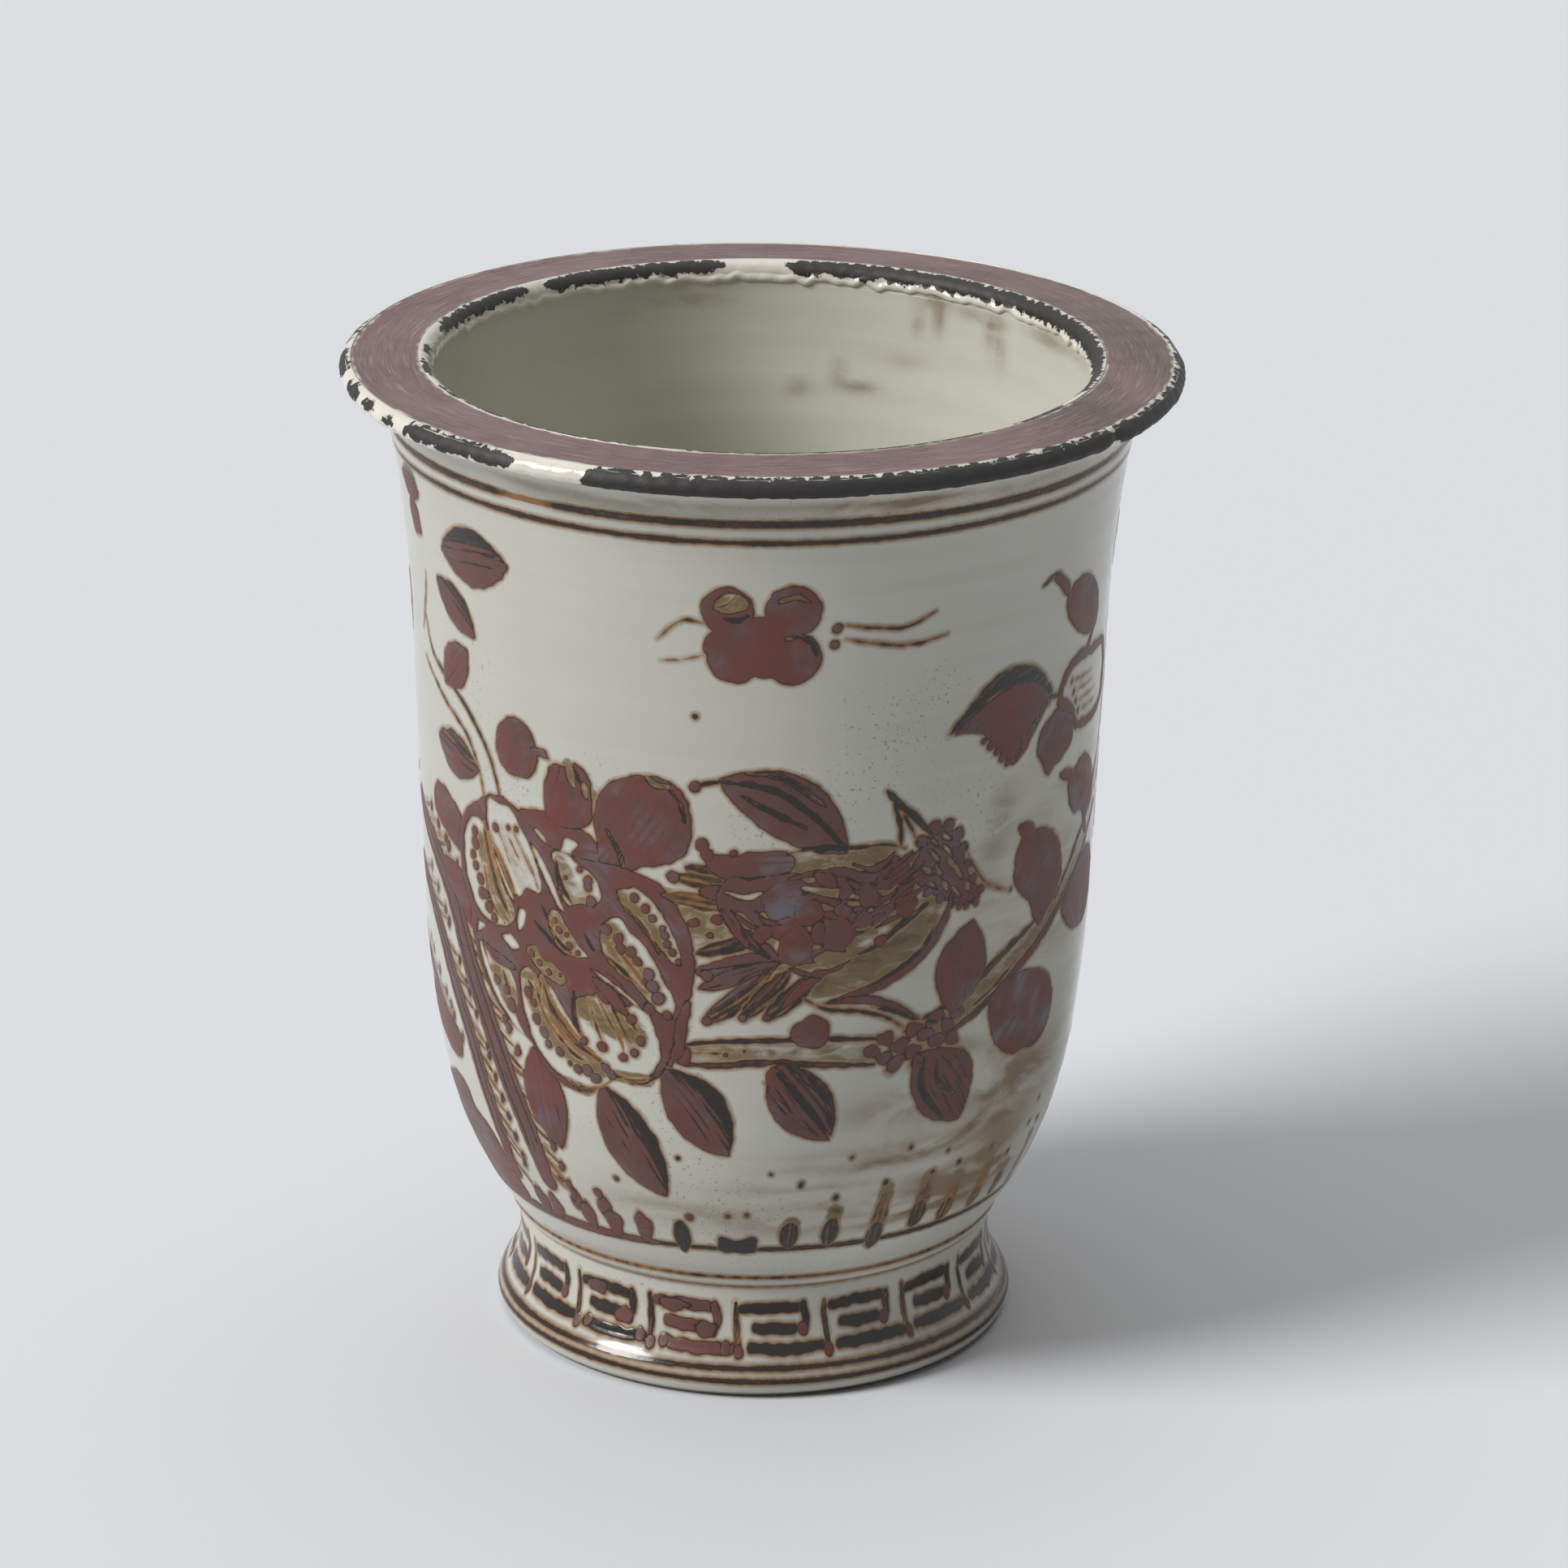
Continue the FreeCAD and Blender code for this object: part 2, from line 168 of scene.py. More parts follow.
def outline(steps, spacing):
    """Points (r, z) along lines and arcs, about `spacing` mm apart.

    An arc leaves its chord's middle square to it, to a centre sqrt(R R - c c / 4) away on its side,
    where c is the chord and R its share times c."""
    made = []
    for a, b in zip(steps, steps[1:]):
        start, end = np.array(a[:2], float), np.array(b[:2], float)
        chord = end - start
        length = math.hypot(*chord)
        t = np.linspace(0, 1, max(2, math.ceil(length / spacing) + 1))[:-1]
        if len(a) == 2:
            made.append(start + t[:, None] * chord)
            continue
        share, side = a[2:]
        radius = share * length
        across = side * np.array([-chord[1], chord[0]]) / length
        centre = (start + end) / 2 + across * math.sqrt(radius**2 - length**2 / 4)
        first = math.atan2(*(start - centre)[::-1])
        last = math.atan2(*(end - centre)[::-1])
        sweep = (last - first + math.pi) % (2 * math.pi) - math.pi
        turned = first + t * sweep
        made.append(centre + radius * np.stack([np.cos(turned), np.sin(turned)], axis=1))
    made.append(np.array([steps[-1][:2]], float))
    return np.concatenate(made)


def ramp(value, start, length):
    """A straight rise from 0 to 1 over a length."""
    return np.clip((value - start) / length, 0, 1)


def wall_radius(z):
    """Radius of the outer glaze face at a height, both in mm."""
    points = outline(OUTSIDE, 1.0)
    return np.interp(z, points[:, 1], points[:, 0]) + sizes()["glaze"]


def waves(a, s, seed, count, turns, along):
    """Soft irregular waves round the pot, mostly from -1 to 1.

    They are a sum of sines sin(n a + m s + p) with whole n, so that they close."""
    rng = np.random.default_rng(seed)
    total = np.zeros(np.broadcast(a, s).shape)
    for _ in range(count):
        n = rng.integers(turns[0], turns[1] + 1)
        m = rng.uniform(*along) * rng.choice([-1, 1])
        total = total + np.sin(n * a + m * s + rng.uniform(0, 2 * math.pi))
    return total / math.sqrt(count / 2) / 2


def throwing(a, z):
    """The thrower's rings in mm: fine rings that drift round the pot, closer and deeper under the rim."""
    fine = 0.6 * np.sin(2 * math.pi * z / 7.3 + np.sin(a))
    rings = np.sin(2 * math.pi * z / 13 + 0.8 * np.sin(a + 0.4)) + fine
    cove = np.exp(-(((z - 404) / 5) ** 2)) * np.sin(2 * math.pi * z / 4.1 + 0.5 * np.sin(2 * a))
    swell = 2.2 * np.cos(2 * a + 1.1 + z / 190)
    return sizes()["ripple"] * (rings + 1.6 * cove + swell)


def skin(name, angle, radius, height, layers=None, keep=None, ring=False):
    """A mesh from a grid of the points (r sin a, -r cos a, z), with the angle a counted from the front.

    Columns close round the pot, and rows close as well for a ring. `keep` says which cells stay,
    and `layers` holds values for the grid's points, kept as attributes."""
    rows, columns = radius.shape
    angle = np.broadcast_to(angle, radius.shape)
    points = np.stack([radius * np.sin(angle), -radius * np.cos(angle), height], axis=-1) * MM
    here = np.arange(rows * columns).reshape(rows, columns)
    beside = np.roll(here, -1, axis=1)
    above, beyond = np.roll(here, -1, axis=0), np.roll(beside, -1, axis=0)
    quads = np.stack([here, beside, beyond, above], axis=-1)
    quads = (quads if ring else quads[:-1]).reshape(-1, 4)
    if keep is not None:
        quads = quads[keep.ravel()]
    used, quads = np.unique(quads, return_inverse=True)
    quads = quads.reshape(-1, 4)
    mesh = bpy.data.meshes.new(name)
    mesh.vertices.add(len(used))
    mesh.vertices.foreach_set("co", points.reshape(-1, 3)[used].astype(np.float32).ravel())
    mesh.loops.add(quads.size)
    mesh.loops.foreach_set("vertex_index", quads.astype(np.int32).ravel())
    mesh.polygons.add(len(quads))
    mesh.polygons.foreach_set("loop_start", np.arange(len(quads), dtype=np.int32) * 4)
    mesh.polygons.foreach_set("use_smooth", np.ones(len(quads), bool))
    for label, values in (layers or {}).items():
        values = np.broadcast_to(values, radius.shape)
        layer = mesh.attributes.new(label, "FLOAT", "POINT")
        layer.data.foreach_set("value", values.reshape(-1)[used].astype(np.float32))
    mesh.update(calc_edges=True)
    mesh.validate()
    made = bpy.data.objects.new(name, mesh)
    bpy.context.scene.collection.objects.link(made)
    return made


def with_back(r, z, back):
    """Radii and heights of the rows of a coat's face, followed by the rows of its hidden back."""
    behind_r, behind_z = (np.repeat(back[:, k:k + 1], r.shape[1], axis=1) for k in (0, 1))
    return np.concatenate([r, behind_r]), np.concatenate([z, behind_z])


def held_behind(values, back, held):
    """A layer on the rows of a coat's face, followed by one value for its hidden back."""
    return np.concatenate([values, np.full((len(back), values.shape[1]), float(held))])


def fitted(made, material, slot, *nodes):
    """Gives a finished piece its material and its body, and hides the CAD nodes that it stands for."""
    made.data.materials.append(material)
    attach(made, "root")
    if nodes:
        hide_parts(*nodes)


def columns_of(count):
    """Angles of the columns once round the pot, from the back through the front."""
    return (np.arange(count) / count - 0.5) * 2 * math.pi


# Stains and painted shade, in unrolled mm


# The rows at z 404 to 407 darken the cove under the rim: a dirty line, and painted shade under the rim
OUTER_STAINS_AND_SHADE = [
    (30, 92, 75, 10, 0.72), (80, 84, 60, 7, 0.6), (60, 138, 34, 7, 0.3), (62, 113, 48, 3.4, 0.75),
    (40, 104, 30, 2.2, 0.45), (104, 101, 26, 3.4, 0.6), (10, 404, 150, 4.2, 0.46), (112, 92, 34, 9, 0.4),
    (70, 120, 60, 2.6, 0.40), (112, 128, 45, 14, 0.76), (134, 98, 40, 18, 0.74), (-20, 104, 40, 6, 0.25),
    (105, 236, 9, 20, 0.45), (150, 140, 30, 14, 0.45), (-60, 92, 60, 6, 0.2), (20, 407, 55, 2.2, 0.75),
    (75, 405, 35, 2.0, 0.60), (-90, 406, 22, 1.6, 0.35), (128, 196, 60, 60, 0.32), (92, 156, 50, 26, 0.32),
    (168, 262, 34, 60, 0.28), (112, 262, 10, 12, 0.4), (-165, 225, 24, 26, 0.30), (300, 105, 80, 12, 0.35),
    (-300, 100, 70, 9, 0.3),
]
INNER_STAINS = [
    (377, 414, 10, 4.5, 0.8), (371, 407, 3.4, 8, 0.6), (382, 405, 3.2, 8, 0.55), (352, 411, 9, 3.4, 0.55),
    (338, 409, 6, 5, 0.6), (334, 399, 4.5, 8, 0.5), (342, 401, 3, 7, 0.4), (420, 377, 4, 5, 0.6),
    (410, 371, 9, 2.8, 0.55), (440, 369, 6, 4, 0.45), (388, 385, 12, 4, 0.28), (-418, 408, 24, 3, 0.45),
    (-392, 406, 12, 3, 0.35), (300, 411, 14, 4, 0.6), (268, 412, 20, 3, 0.4), (360, 330, 60, 10, 0.18),
    (60, 280, 70, 12, 0.2), (-200, 200, 90, 18, 0.25),
]


def stains(a, z, spots):
    """Soft stains from 0 to 1: each is exp(-(du/su)^2 - (dz/sz)^2) about its place, added up. On the wall
    they also hold painted shade under the rim.
    """
    u = a * FACE_RADIUS
    total = np.zeros(np.broadcast(u, z).shape)
    for spot_u, spot_z, across, up, strength in spots:
        du = (u - spot_u + TURN / 2) % TURN - TURN / 2
        total = total + strength * np.exp(-((du / across) ** 2) - ((z - spot_z) / up) ** 2)
    return np.clip(total, 0, 1)


# Brush marks, in unrolled mm: FAR stands for no mark near, and UNMET for a path not measured yet

FAR = 9.0
UNMET = 99.0


def smooth_path(points, closed=False, parts=5):
    """More points on a path: each span is a cubic that leaves its ends along their neighbours' chords."""
    p = np.array(points, float)
    if closed:
        p = np.concatenate([p[-1:], p, p[:2]])
    else:
        p = np.concatenate([2 * p[:1] - p[1:2], p, 2 * p[-1:] - p[-2:-1]])
    t = np.linspace(0, 1, parts, endpoint=False)[:, None, None]
    a, b, c, d = p[:-3], p[1:-2], p[2:-1], p[3:]
    spans = 0.5 * (2 * b + (c - a) * t + (2 * a - 5 * b + 4 * c - d) * t**2 + (3 * b - a - 3 * c + d) * t**3)
    path = spans.transpose(1, 0, 2).reshape(-1, p.shape[1])
    return path if closed else np.concatenate([path, p[-2:-1]])


def to_segments(u, z, path):
    """For each stretch of a path in turn, the share along it that is nearest, the distance, and its ends."""
    for a, b in zip(path, path[1:]):
        du, dz = b[0] - a[0], b[1] - a[1]
        t = np.clip(((u - a[0]) * du + (z - a[1]) * dz) / max(du * du + dz * dz, 1e-9), 0, 1)
        yield t, np.hypot(u - a[0] - t * du, z - a[1] - t * dz), a, b


def bristles(across, along, seed, width=2.4):
    """Brush streaks from 0 to 1: sines across the stroke, whose phase drifts slowly along it."""
    rng = np.random.default_rng(seed)
    total = np.zeros(np.shape(across))
    for _ in range(4):
        f = 2 * math.pi / (width * rng.uniform(0.7, 1.9))
        drift = rng.uniform(0.8, 2.2) * np.sin(along * rng.uniform(0.05, 0.16) + rng.uniform(0, 6))
        total = total + np.sin(f * across + drift + rng.uniform(0, 6)) * (
            0.7 + 0.3 * np.sin(along * rng.uniform(0.1, 0.3) + rng.uniform(0, 6))
        )
    return np.clip(0.5 + total / 4.2, 0, 1)


class Canvas:
    """The pot's outside unrolled into a grid.

    Each point keeps how deep it lies in paint, how far it is from a kept outline, how full the brush was, how
    strong an amber wash is, and which motif it belongs to."""

    def __init__(self, low, high, motifs):
        self.columns = round(TURN / sizes()["cell"])
        self.step = TURN / self.columns
        self.z = np.arange(low, high, self.step)
        shape = (len(self.z), self.columns)
        self.cover = np.full(shape, -FAR)
        self.seam = np.full(shape, FAR)
        self.load = np.zeros(shape)
        self.wash = np.zeros(shape)
        self.claim = np.full(shape, -FAR)
        self.owner = np.zeros(shape, int)
        self.motifs = motifs
        self.motif = 0
        self.moved = (0.0, 0.0, 1.0)
        self.count = 0
        a = columns_of(self.columns)[None, :]
        z = self.z[:, None]
        self.wobble = 0.36 * waves(a, z, 5, 14, (30, 130), (0.2, 0.9))

    def begin(self, motif, shift=0.0, flip=1.0, lift=0.0):
        """The strokes that follow are this motif's: shifted round the pot, mirrored if flip is -1, lifted."""
        self.motif = self.motifs.index(motif)
        self.moved = (shift, lift, flip)

    def placed(self, points):
        """Points of a motif where it lies on the pot."""
        p = np.array(points, float)
        p[..., 0] = self.moved[0] + self.moved[2] * p[..., 0]
        p[..., 1] = p[..., 1] + self.moved[1]
        return p

    def window(self, points, reach):
        """The grid points near some points: their index, and their u and z."""
        low, high = points[:, :2].min(0) - reach - 3, points[:, :2].max(0) + reach + 3
        across = np.arange(math.floor(low[0] / self.step), math.ceil(high[0] / self.step) + 1)
        rows = np.nonzero((self.z > low[1]) & (self.z < high[1]))[0]
        u, z = np.meshgrid(across * self.step, self.z[rows])
        return np.ix_(rows, (across + self.columns // 2) % self.columns), u, z

    def lay(self, where, d, load, wipe=False, shake=1.0):
        """Lays paint, or wipes it off, where d > 0. It is the distance in mm inside the mark."""
        d = d + shake * self.wobble[where] * np.clip(2 - np.abs(d), 0, 1)
        self.count += 1
        cover, seam = self.cover[where], self.seam[where]
        if wipe:
            self.cover[where] = np.minimum(cover, -d)
            self.seam[where] = np.where(d > 0, FAR, np.minimum(seam, np.maximum(-d, 0)))
            return
        hand = np.clip(0.5 + (d - np.minimum(cover, 0)) / 0.7, 0, 1)
        self.load[where] = self.load[where] * (1 - hand) + load * hand
        self.seam[where] = np.where(d > 0, d, np.minimum(seam, -d))
        self.cover[where] = np.maximum(cover, d)
        claim = self.claim[where]
        self.owner[where] = np.where(d > claim, self.motif, self.owner[where])
        self.claim[where] = np.maximum(claim, d)

    def leaf(self, a, b, half, bow=0.0, load=1.0, streak=0.5, amber=0.0, power=0.72, wipe=False):
        """A leaf from a to b, bent by bow: at the share t its half width is half * sin(pi t)^power."""
        (a, b), side = self.placed([a, b]), self.moved[2]
        where, u, z = self.window(np.array([a, b]), half + abs(bow))
        du, dz = b - a
        length = math.hypot(du, dz)
        t = ((u - a[0]) * du + (z - a[1]) * dz) / length**2
        held = np.clip(t, 0.0, 1.0)
        s = side * (-(u - a[0]) * dz + (z - a[1]) * du) / length
        s = s - bow * 4 * held * (1 - held)
        wave = np.sin(math.pi * np.clip(held, 0.012, 0.988))
        width = half * wave**power
        slope = half * power * wave ** (power - 1) * math.pi / length * np.abs(np.cos(math.pi * held))
        past = np.abs(t - held) * length
        inside = (width - np.abs(s)) / np.hypot(1, slope)
        d = np.where(past > 0, -np.hypot(past, np.maximum(np.abs(s) - 0.5, 0)), inside)
        body = np.clip(1 - np.abs(s / np.maximum(width, 0.1)), 0, 1)
        cut = streak * np.clip(bristles(s, t * length, self.count) * 1.9 - 0.85, 0, 1)
        cut = cut * np.clip(body * 2.2 - 0.3, 0, 1)
        lean = amber * np.clip(s / np.maximum(width, 0.1) * math.copysign(1, amber) * 1.6 - 0.1, 0, 1)
        self.lay(where, d, np.clip(load - cut * load - abs(lean), 0.12, 1.2), wipe)

    def blob(self, at, ru, rz, tilt=0.0, load=1.0, streak=0.2, wipe=False):
        """A round dab: inside it, d is its smaller radius times (1 - rho), where rho is 1 on its edge."""
        at = self.placed([at])
        where, u, z = self.window(at, max(ru, rz))
        turn = math.radians(tilt) * self.moved[2]
        x = (u - at[0, 0]) * math.cos(turn) + (z - at[0, 1]) * math.sin(turn)
        y = (z - at[0, 1]) * math.cos(turn) - (u - at[0, 0]) * math.sin(turn)
        around = np.arctan2(y / rz, x / ru)
        uneven = 1 + 0.07 * np.sin(3 * around + self.count) + 0.04 * np.sin(5 * around)
        rho = np.hypot(x / ru, y / rz) / uneven
        cut = streak * np.clip(bristles(y, x, self.count, 3.0) * 1.9 - 0.95, 0, 1)
        self.lay(where, min(ru, rz) * (1 - rho), load * (1 - cut), wipe)

    def dots(self, spots, load=1.0):
        """Round dots (u, z, radius) laid together, so that those which touch run into one."""
        spots = np.array(spots, float)
        at = self.placed(spots)
        where, u, z = self.window(at, spots[:, 2].max())
        d = np.full(u.shape, -FAR)
        for x, y, radius in at:
            d = np.maximum(d, radius - np.hypot(u - x, z - y))
        self.lay(where, d, load)

    def line(self, points, width, load=0.6, thin=0.35, streak=0.0, wipe=False):
        """A brush line through points: at the share s its half width is width / 2 * sin(pi s)^thin."""
        path = smooth_path(self.placed(points))
        share = np.concatenate([[0], np.cumsum(np.hypot(*np.diff(path, axis=0).T))])
        total, share = share[-1], share / share[-1]
        half = width / 2 * np.maximum(np.sin(math.pi * np.clip(share, 0.04, 0.96)), 0.05) ** thin
        path = np.column_stack([path, half, share])
        where, u, z = self.window(path, width)
        d = np.full(u.shape, -FAR)
        along = np.zeros(u.shape)
        for t, far, a, b in to_segments(u, z, path):
            inside = a[2] + t * (b[2] - a[2]) - far
            along = np.where(inside > d, (a[3] + t * (b[3] - a[3])) * total, along)
            d = np.maximum(d, inside)
        cut = streak * np.clip(bristles(d * 1.3, along, self.count) * 1.8 - 0.8, 0, 1)
        self.lay(where, d, load * (1 - cut), wipe)

    def lines(self, marks):
        """Brush lines one after another, each with the values that `line` takes."""
        for mark in marks:
            self.line(*mark)

    def patch(self, points, load=1.0, streak=0.3, wipe=False, lean=(1.0, 0.0)):
        """A patch with a smooth closed edge, whose d is the distance to the edge.

        A point is inside if a ray from it crosses the edge an odd number of times."""
        path = smooth_path(self.placed(points), closed=True)
        path = np.concatenate([path, path[:1]])
        where, u, z = self.window(path, 2)
        near = np.full(u.shape, UNMET)
        inside = np.zeros(u.shape, bool)
        for _, far, a, b in to_segments(u, z, path):
            near = np.minimum(near, far)
            if a[1] != b[1]:
                crossed = ((a[1] > z) != (b[1] > z)) & (u < (b[0] - a[0]) * (z - a[1]) / (b[1] - a[1]) + a[0])
                inside ^= crossed
        across, along = u * lean[1] - z * lean[0], u * lean[0] + z * lean[1]
        cut = streak * np.clip(bristles(across, along, self.count, 3.2) * 1.9 - 0.9, 0, 1)
        self.lay(where, np.where(inside, near, -near), load * (1 - cut), wipe)

    def stain(self, points, width, amount):
        """A thin amber wash along a path, lightly streaked: amount * exp(-(distance / width)^4)."""
        path = smooth_path(self.placed(points), parts=3)
        where, u, z = self.window(path, width * 1.7)
        near = np.full(u.shape, UNMET)
        for _, far, _, _ in to_segments(u, z, path):
            near = np.minimum(near, far)
        amount = amount * (0.9 + 0.18 * bristles(near * 1.4 + z * 0.3, u, self.count, 3.0))
        self.wash[where] = np.maximum(self.wash[where], amount * np.exp(-((near / width) ** 4)))


# Motifs, drawn from the front middle with u to the right and z up, in mm


def draw_bands(canvas):
    """Rings brushed as the pot turned: two under the rim, one at the belly's foot and four on the foot.

    The belly's ring is full and wide, and so rust, at the left side only."""
    a = columns_of(canvas.columns)
    rows = canvas.z[:, None]
    everywhere = np.ix_(np.arange(len(canvas.z)), np.arange(canvas.columns))
    rings = [
        (398.6, 1.75, 0.62, 0.25), (390.9, 1.35, 0.60, 0.3), (71.4, 1.5, 0.58, 0.4), (54.1, 0.7, 0.66, 0.2),
        (48.7, 0.6, 0.52, 0.25), (13.3, 1.35, 0.52, 0.3), (8.5, 1.35, 0.58, 0.3),
    ]
    rust_from, rust_to = -2.3, -0.34
    for seed, (z, half, load, drift) in enumerate(rings):
        centre = z + drift * waves(a, 0, 20 + seed, 5, (1, 4), (0, 0))
        width = half * (1 + 0.09 * waves(a, 0, 40 + seed, 9, (3, 26), (0, 0)))
        full = load * (1 + 0.08 * waves(a, 0, 60 + seed, 8, (2, 17), (0, 0)))
        if seed == 0:
            amber = np.exp(-(((a * FACE_RADIUS + 95) / 16) ** 4))
            full = full * (1 - 0.62 * amber) + 0.06 * waves(a, 0, 80, 6, (4, 30), (0, 0))
        if seed == 2:
            full = np.where((a < rust_to) & (a > rust_from), 1.0, full)
            width = width + np.clip((rust_to - a) * 4, 0, 0.9) * np.clip((a - rust_from) * 4, 0, 1)
        canvas.count += 1
        full = np.broadcast_to(full, canvas.cover.shape)
        canvas.lay(everywhere, width - np.abs(rows - centre), full, shake=0.3)


def draw_butterfly(canvas):
    """Four rust wings run together round one body, two feelers at each side and a few dots."""
    canvas.dots([
        (-12, 361, 10.4), (-6, 353, 6.5), (1, 350, 9), (13.5, 361, 11.2), (8, 353, 7.5), (-9, 341.5, 11.5),
        (-13, 345, 8.5), (2, 343, 10.5), (13.5, 341, 11.6),
    ])
    canvas.patch([(-17, 363), (-13, 368), (-7, 368), (-4, 364), (-7, 361), (-12, 360)], wipe=True)
    canvas.stain([(-15, 364), (-6, 364)], 4, 1.0)
    canvas.line([(-17, 362), (-12, 364), (-8, 368)], 2.0, 0.36)
    canvas.stain([(9, 366), (15, 368), (20, 365)], 2.2, 0.9)
    canvas.lines([
        ([(8, 365), (14, 367.5), (20, 365)], 2.4, 0.33, 0.4, 0.4),
        ([(-13, 357.5), (-8, 357), (-4, 359)], 1.8, 0.55, 0.5, 0.6),
        ([(11, 349), (16, 350), (21, 347), (23, 342)], 1.6, 0.55, 0.5, 0.6),
        ([(-20, 355), (-30, 356), (-40, 347)], 1.6, 0.4), ([(-20, 342), (-30, 339), (-39, 338)], 1.4, 0.3),
    ])
    canvas.dots([(31, 353, 2.2), (30, 346, 1.9)])
    canvas.line([(35, 354), (47, 352), (60, 351), (72, 356)], 2.0, 0.5)
    canvas.line([(35, 348), (48, 345), (62, 343), (78, 345)], 2.0, 0.46)
    canvas.dots([(-25, 315, 1.4)], 0.7)


PEONY = [
    (-130, 260), (-121, 264), (-110, 262), (-101, 256), (-93, 250), (-84, 248), (-74, 247), (-62, 247),
    (-50, 245), (-38, 240), (-30, 228), (-25, 212), (-26, 197), (-30, 184), (-32, 172), (-37, 162),
    (-43, 154), (-51, 150), (-60, 152), (-66, 148), (-75, 142), (-88, 143), (-98, 149), (-106, 159),
    (-116, 163), (-127, 171), (-137, 185), (-142, 200), (-142, 209), (-148, 220), (-150, 232), (-148, 244),
    (-142, 252),
]
PETALS = [
    [(-127, 260), (-121, 261), (-112, 260), (-107, 254), (-103, 249), (-99, 241), (-96, 233), (-97, 227),
     (-104, 227), (-109, 222), (-114, 229), (-121, 240), (-127, 248)],
    [(-101, 248), (-96, 244), (-91, 236), (-87, 228), (-84, 222), (-88, 224), (-93, 232), (-98, 241)],
    [(-125, 241), (-120, 233), (-115, 226), (-111, 219), (-116, 223), (-121, 231)],
    [(-133, 250), (-140, 248), (-145, 240), (-146, 230), (-144, 220), (-139, 212), (-132, 207), (-122, 206),
     (-113, 210), (-112, 216), (-118, 224), (-123, 234), (-127, 244)],
    [(-137, 204), (-132, 203), (-137, 199)], [(-120, 202), (-115, 204), (-109, 200), (-114, 198)],
    [(-109, 217), (-105, 217), (-106, 211), (-110, 207)],
    [(-92, 219), (-88, 221), (-82, 214), (-77, 208), (-73, 204), (-80, 203), (-87, 206), (-91, 212)],
    [(-137, 198), (-132, 190), (-125, 180), (-117, 171), (-108, 160), (-113, 161), (-121, 168), (-129, 177),
     (-135, 188)],
    [(-133, 193), (-127, 190), (-120, 189), (-114, 186), (-112, 178), (-114, 168), (-121, 172),
     (-127, 181)],
    [(-109, 189), (-104, 192), (-99, 188), (-94, 178), (-86, 168), (-77, 160), (-69, 157), (-63, 156),
     (-64, 150), (-71, 146), (-82, 145), (-93, 149), (-101, 156), (-106, 166), (-109, 177)],
    [(-93, 188), (-87, 180), (-80, 171), (-76, 165), (-80, 167), (-87, 175), (-92, 183)],
    [(-79, 184), (-71, 187), (-60, 184), (-51, 186), (-45, 183), (-42, 175), (-40, 166), (-44, 157),
     (-50, 152), (-59, 154), (-68, 158), (-75, 165), (-79, 174)],
    [(-66, 218), (-62, 223), (-57, 224), (-53, 218), (-47, 214), (-42, 206), (-38, 198), (-34, 192),
     (-34, 185), (-39, 184), (-46, 190), (-52, 196), (-62, 203), (-66, 210)],
    [(-58, 236), (-51, 238), (-45, 235), (-39, 228), (-34, 219), (-31, 209), (-34, 207), (-40, 213),
     (-47, 222), (-56, 230)],
    [(-90, 246), (-84, 248), (-76, 244), (-69, 240), (-66, 233), (-69, 228), (-77, 227), (-82, 225),
     (-86, 231), (-87, 239)],
    [(-105, 200), (-100, 203), (-96, 198), (-90, 197), (-84, 192), (-87, 189), (-95, 191), (-101, 195)],
]
PETAL_WASHES = [
    ([(-118, 248), (-104, 230)], 5, 0.3), ([(-130, 240), (-127, 225), (-116, 212)], 6, 1.0),
    ([(-124, 186), (-117, 176)], 6, 1.0), ([(-104, 186), (-96, 172), (-84, 161), (-70, 155)], 6.5, 0.9),
    ([(-76, 182), (-66, 178), (-52, 173)], 6.5, 1.0), ([(-62, 216), (-56, 206), (-46, 196)], 6, 0.9),
    ([(-57, 234), (-47, 225), (-39, 213)], 4, 0.9), ([(-86, 242), (-80, 232), (-72, 228)], 5.5, 0.6),
    ([(-103, 200), (-95, 196), (-87, 192)], 5, 0.8), ([(-89, 217), (-82, 208)], 4, 0.8),
    ([(-88, 145), (-76, 143)], 3, 0.9), ([(-60, 153), (-46, 153)], 3, 0.9),
]
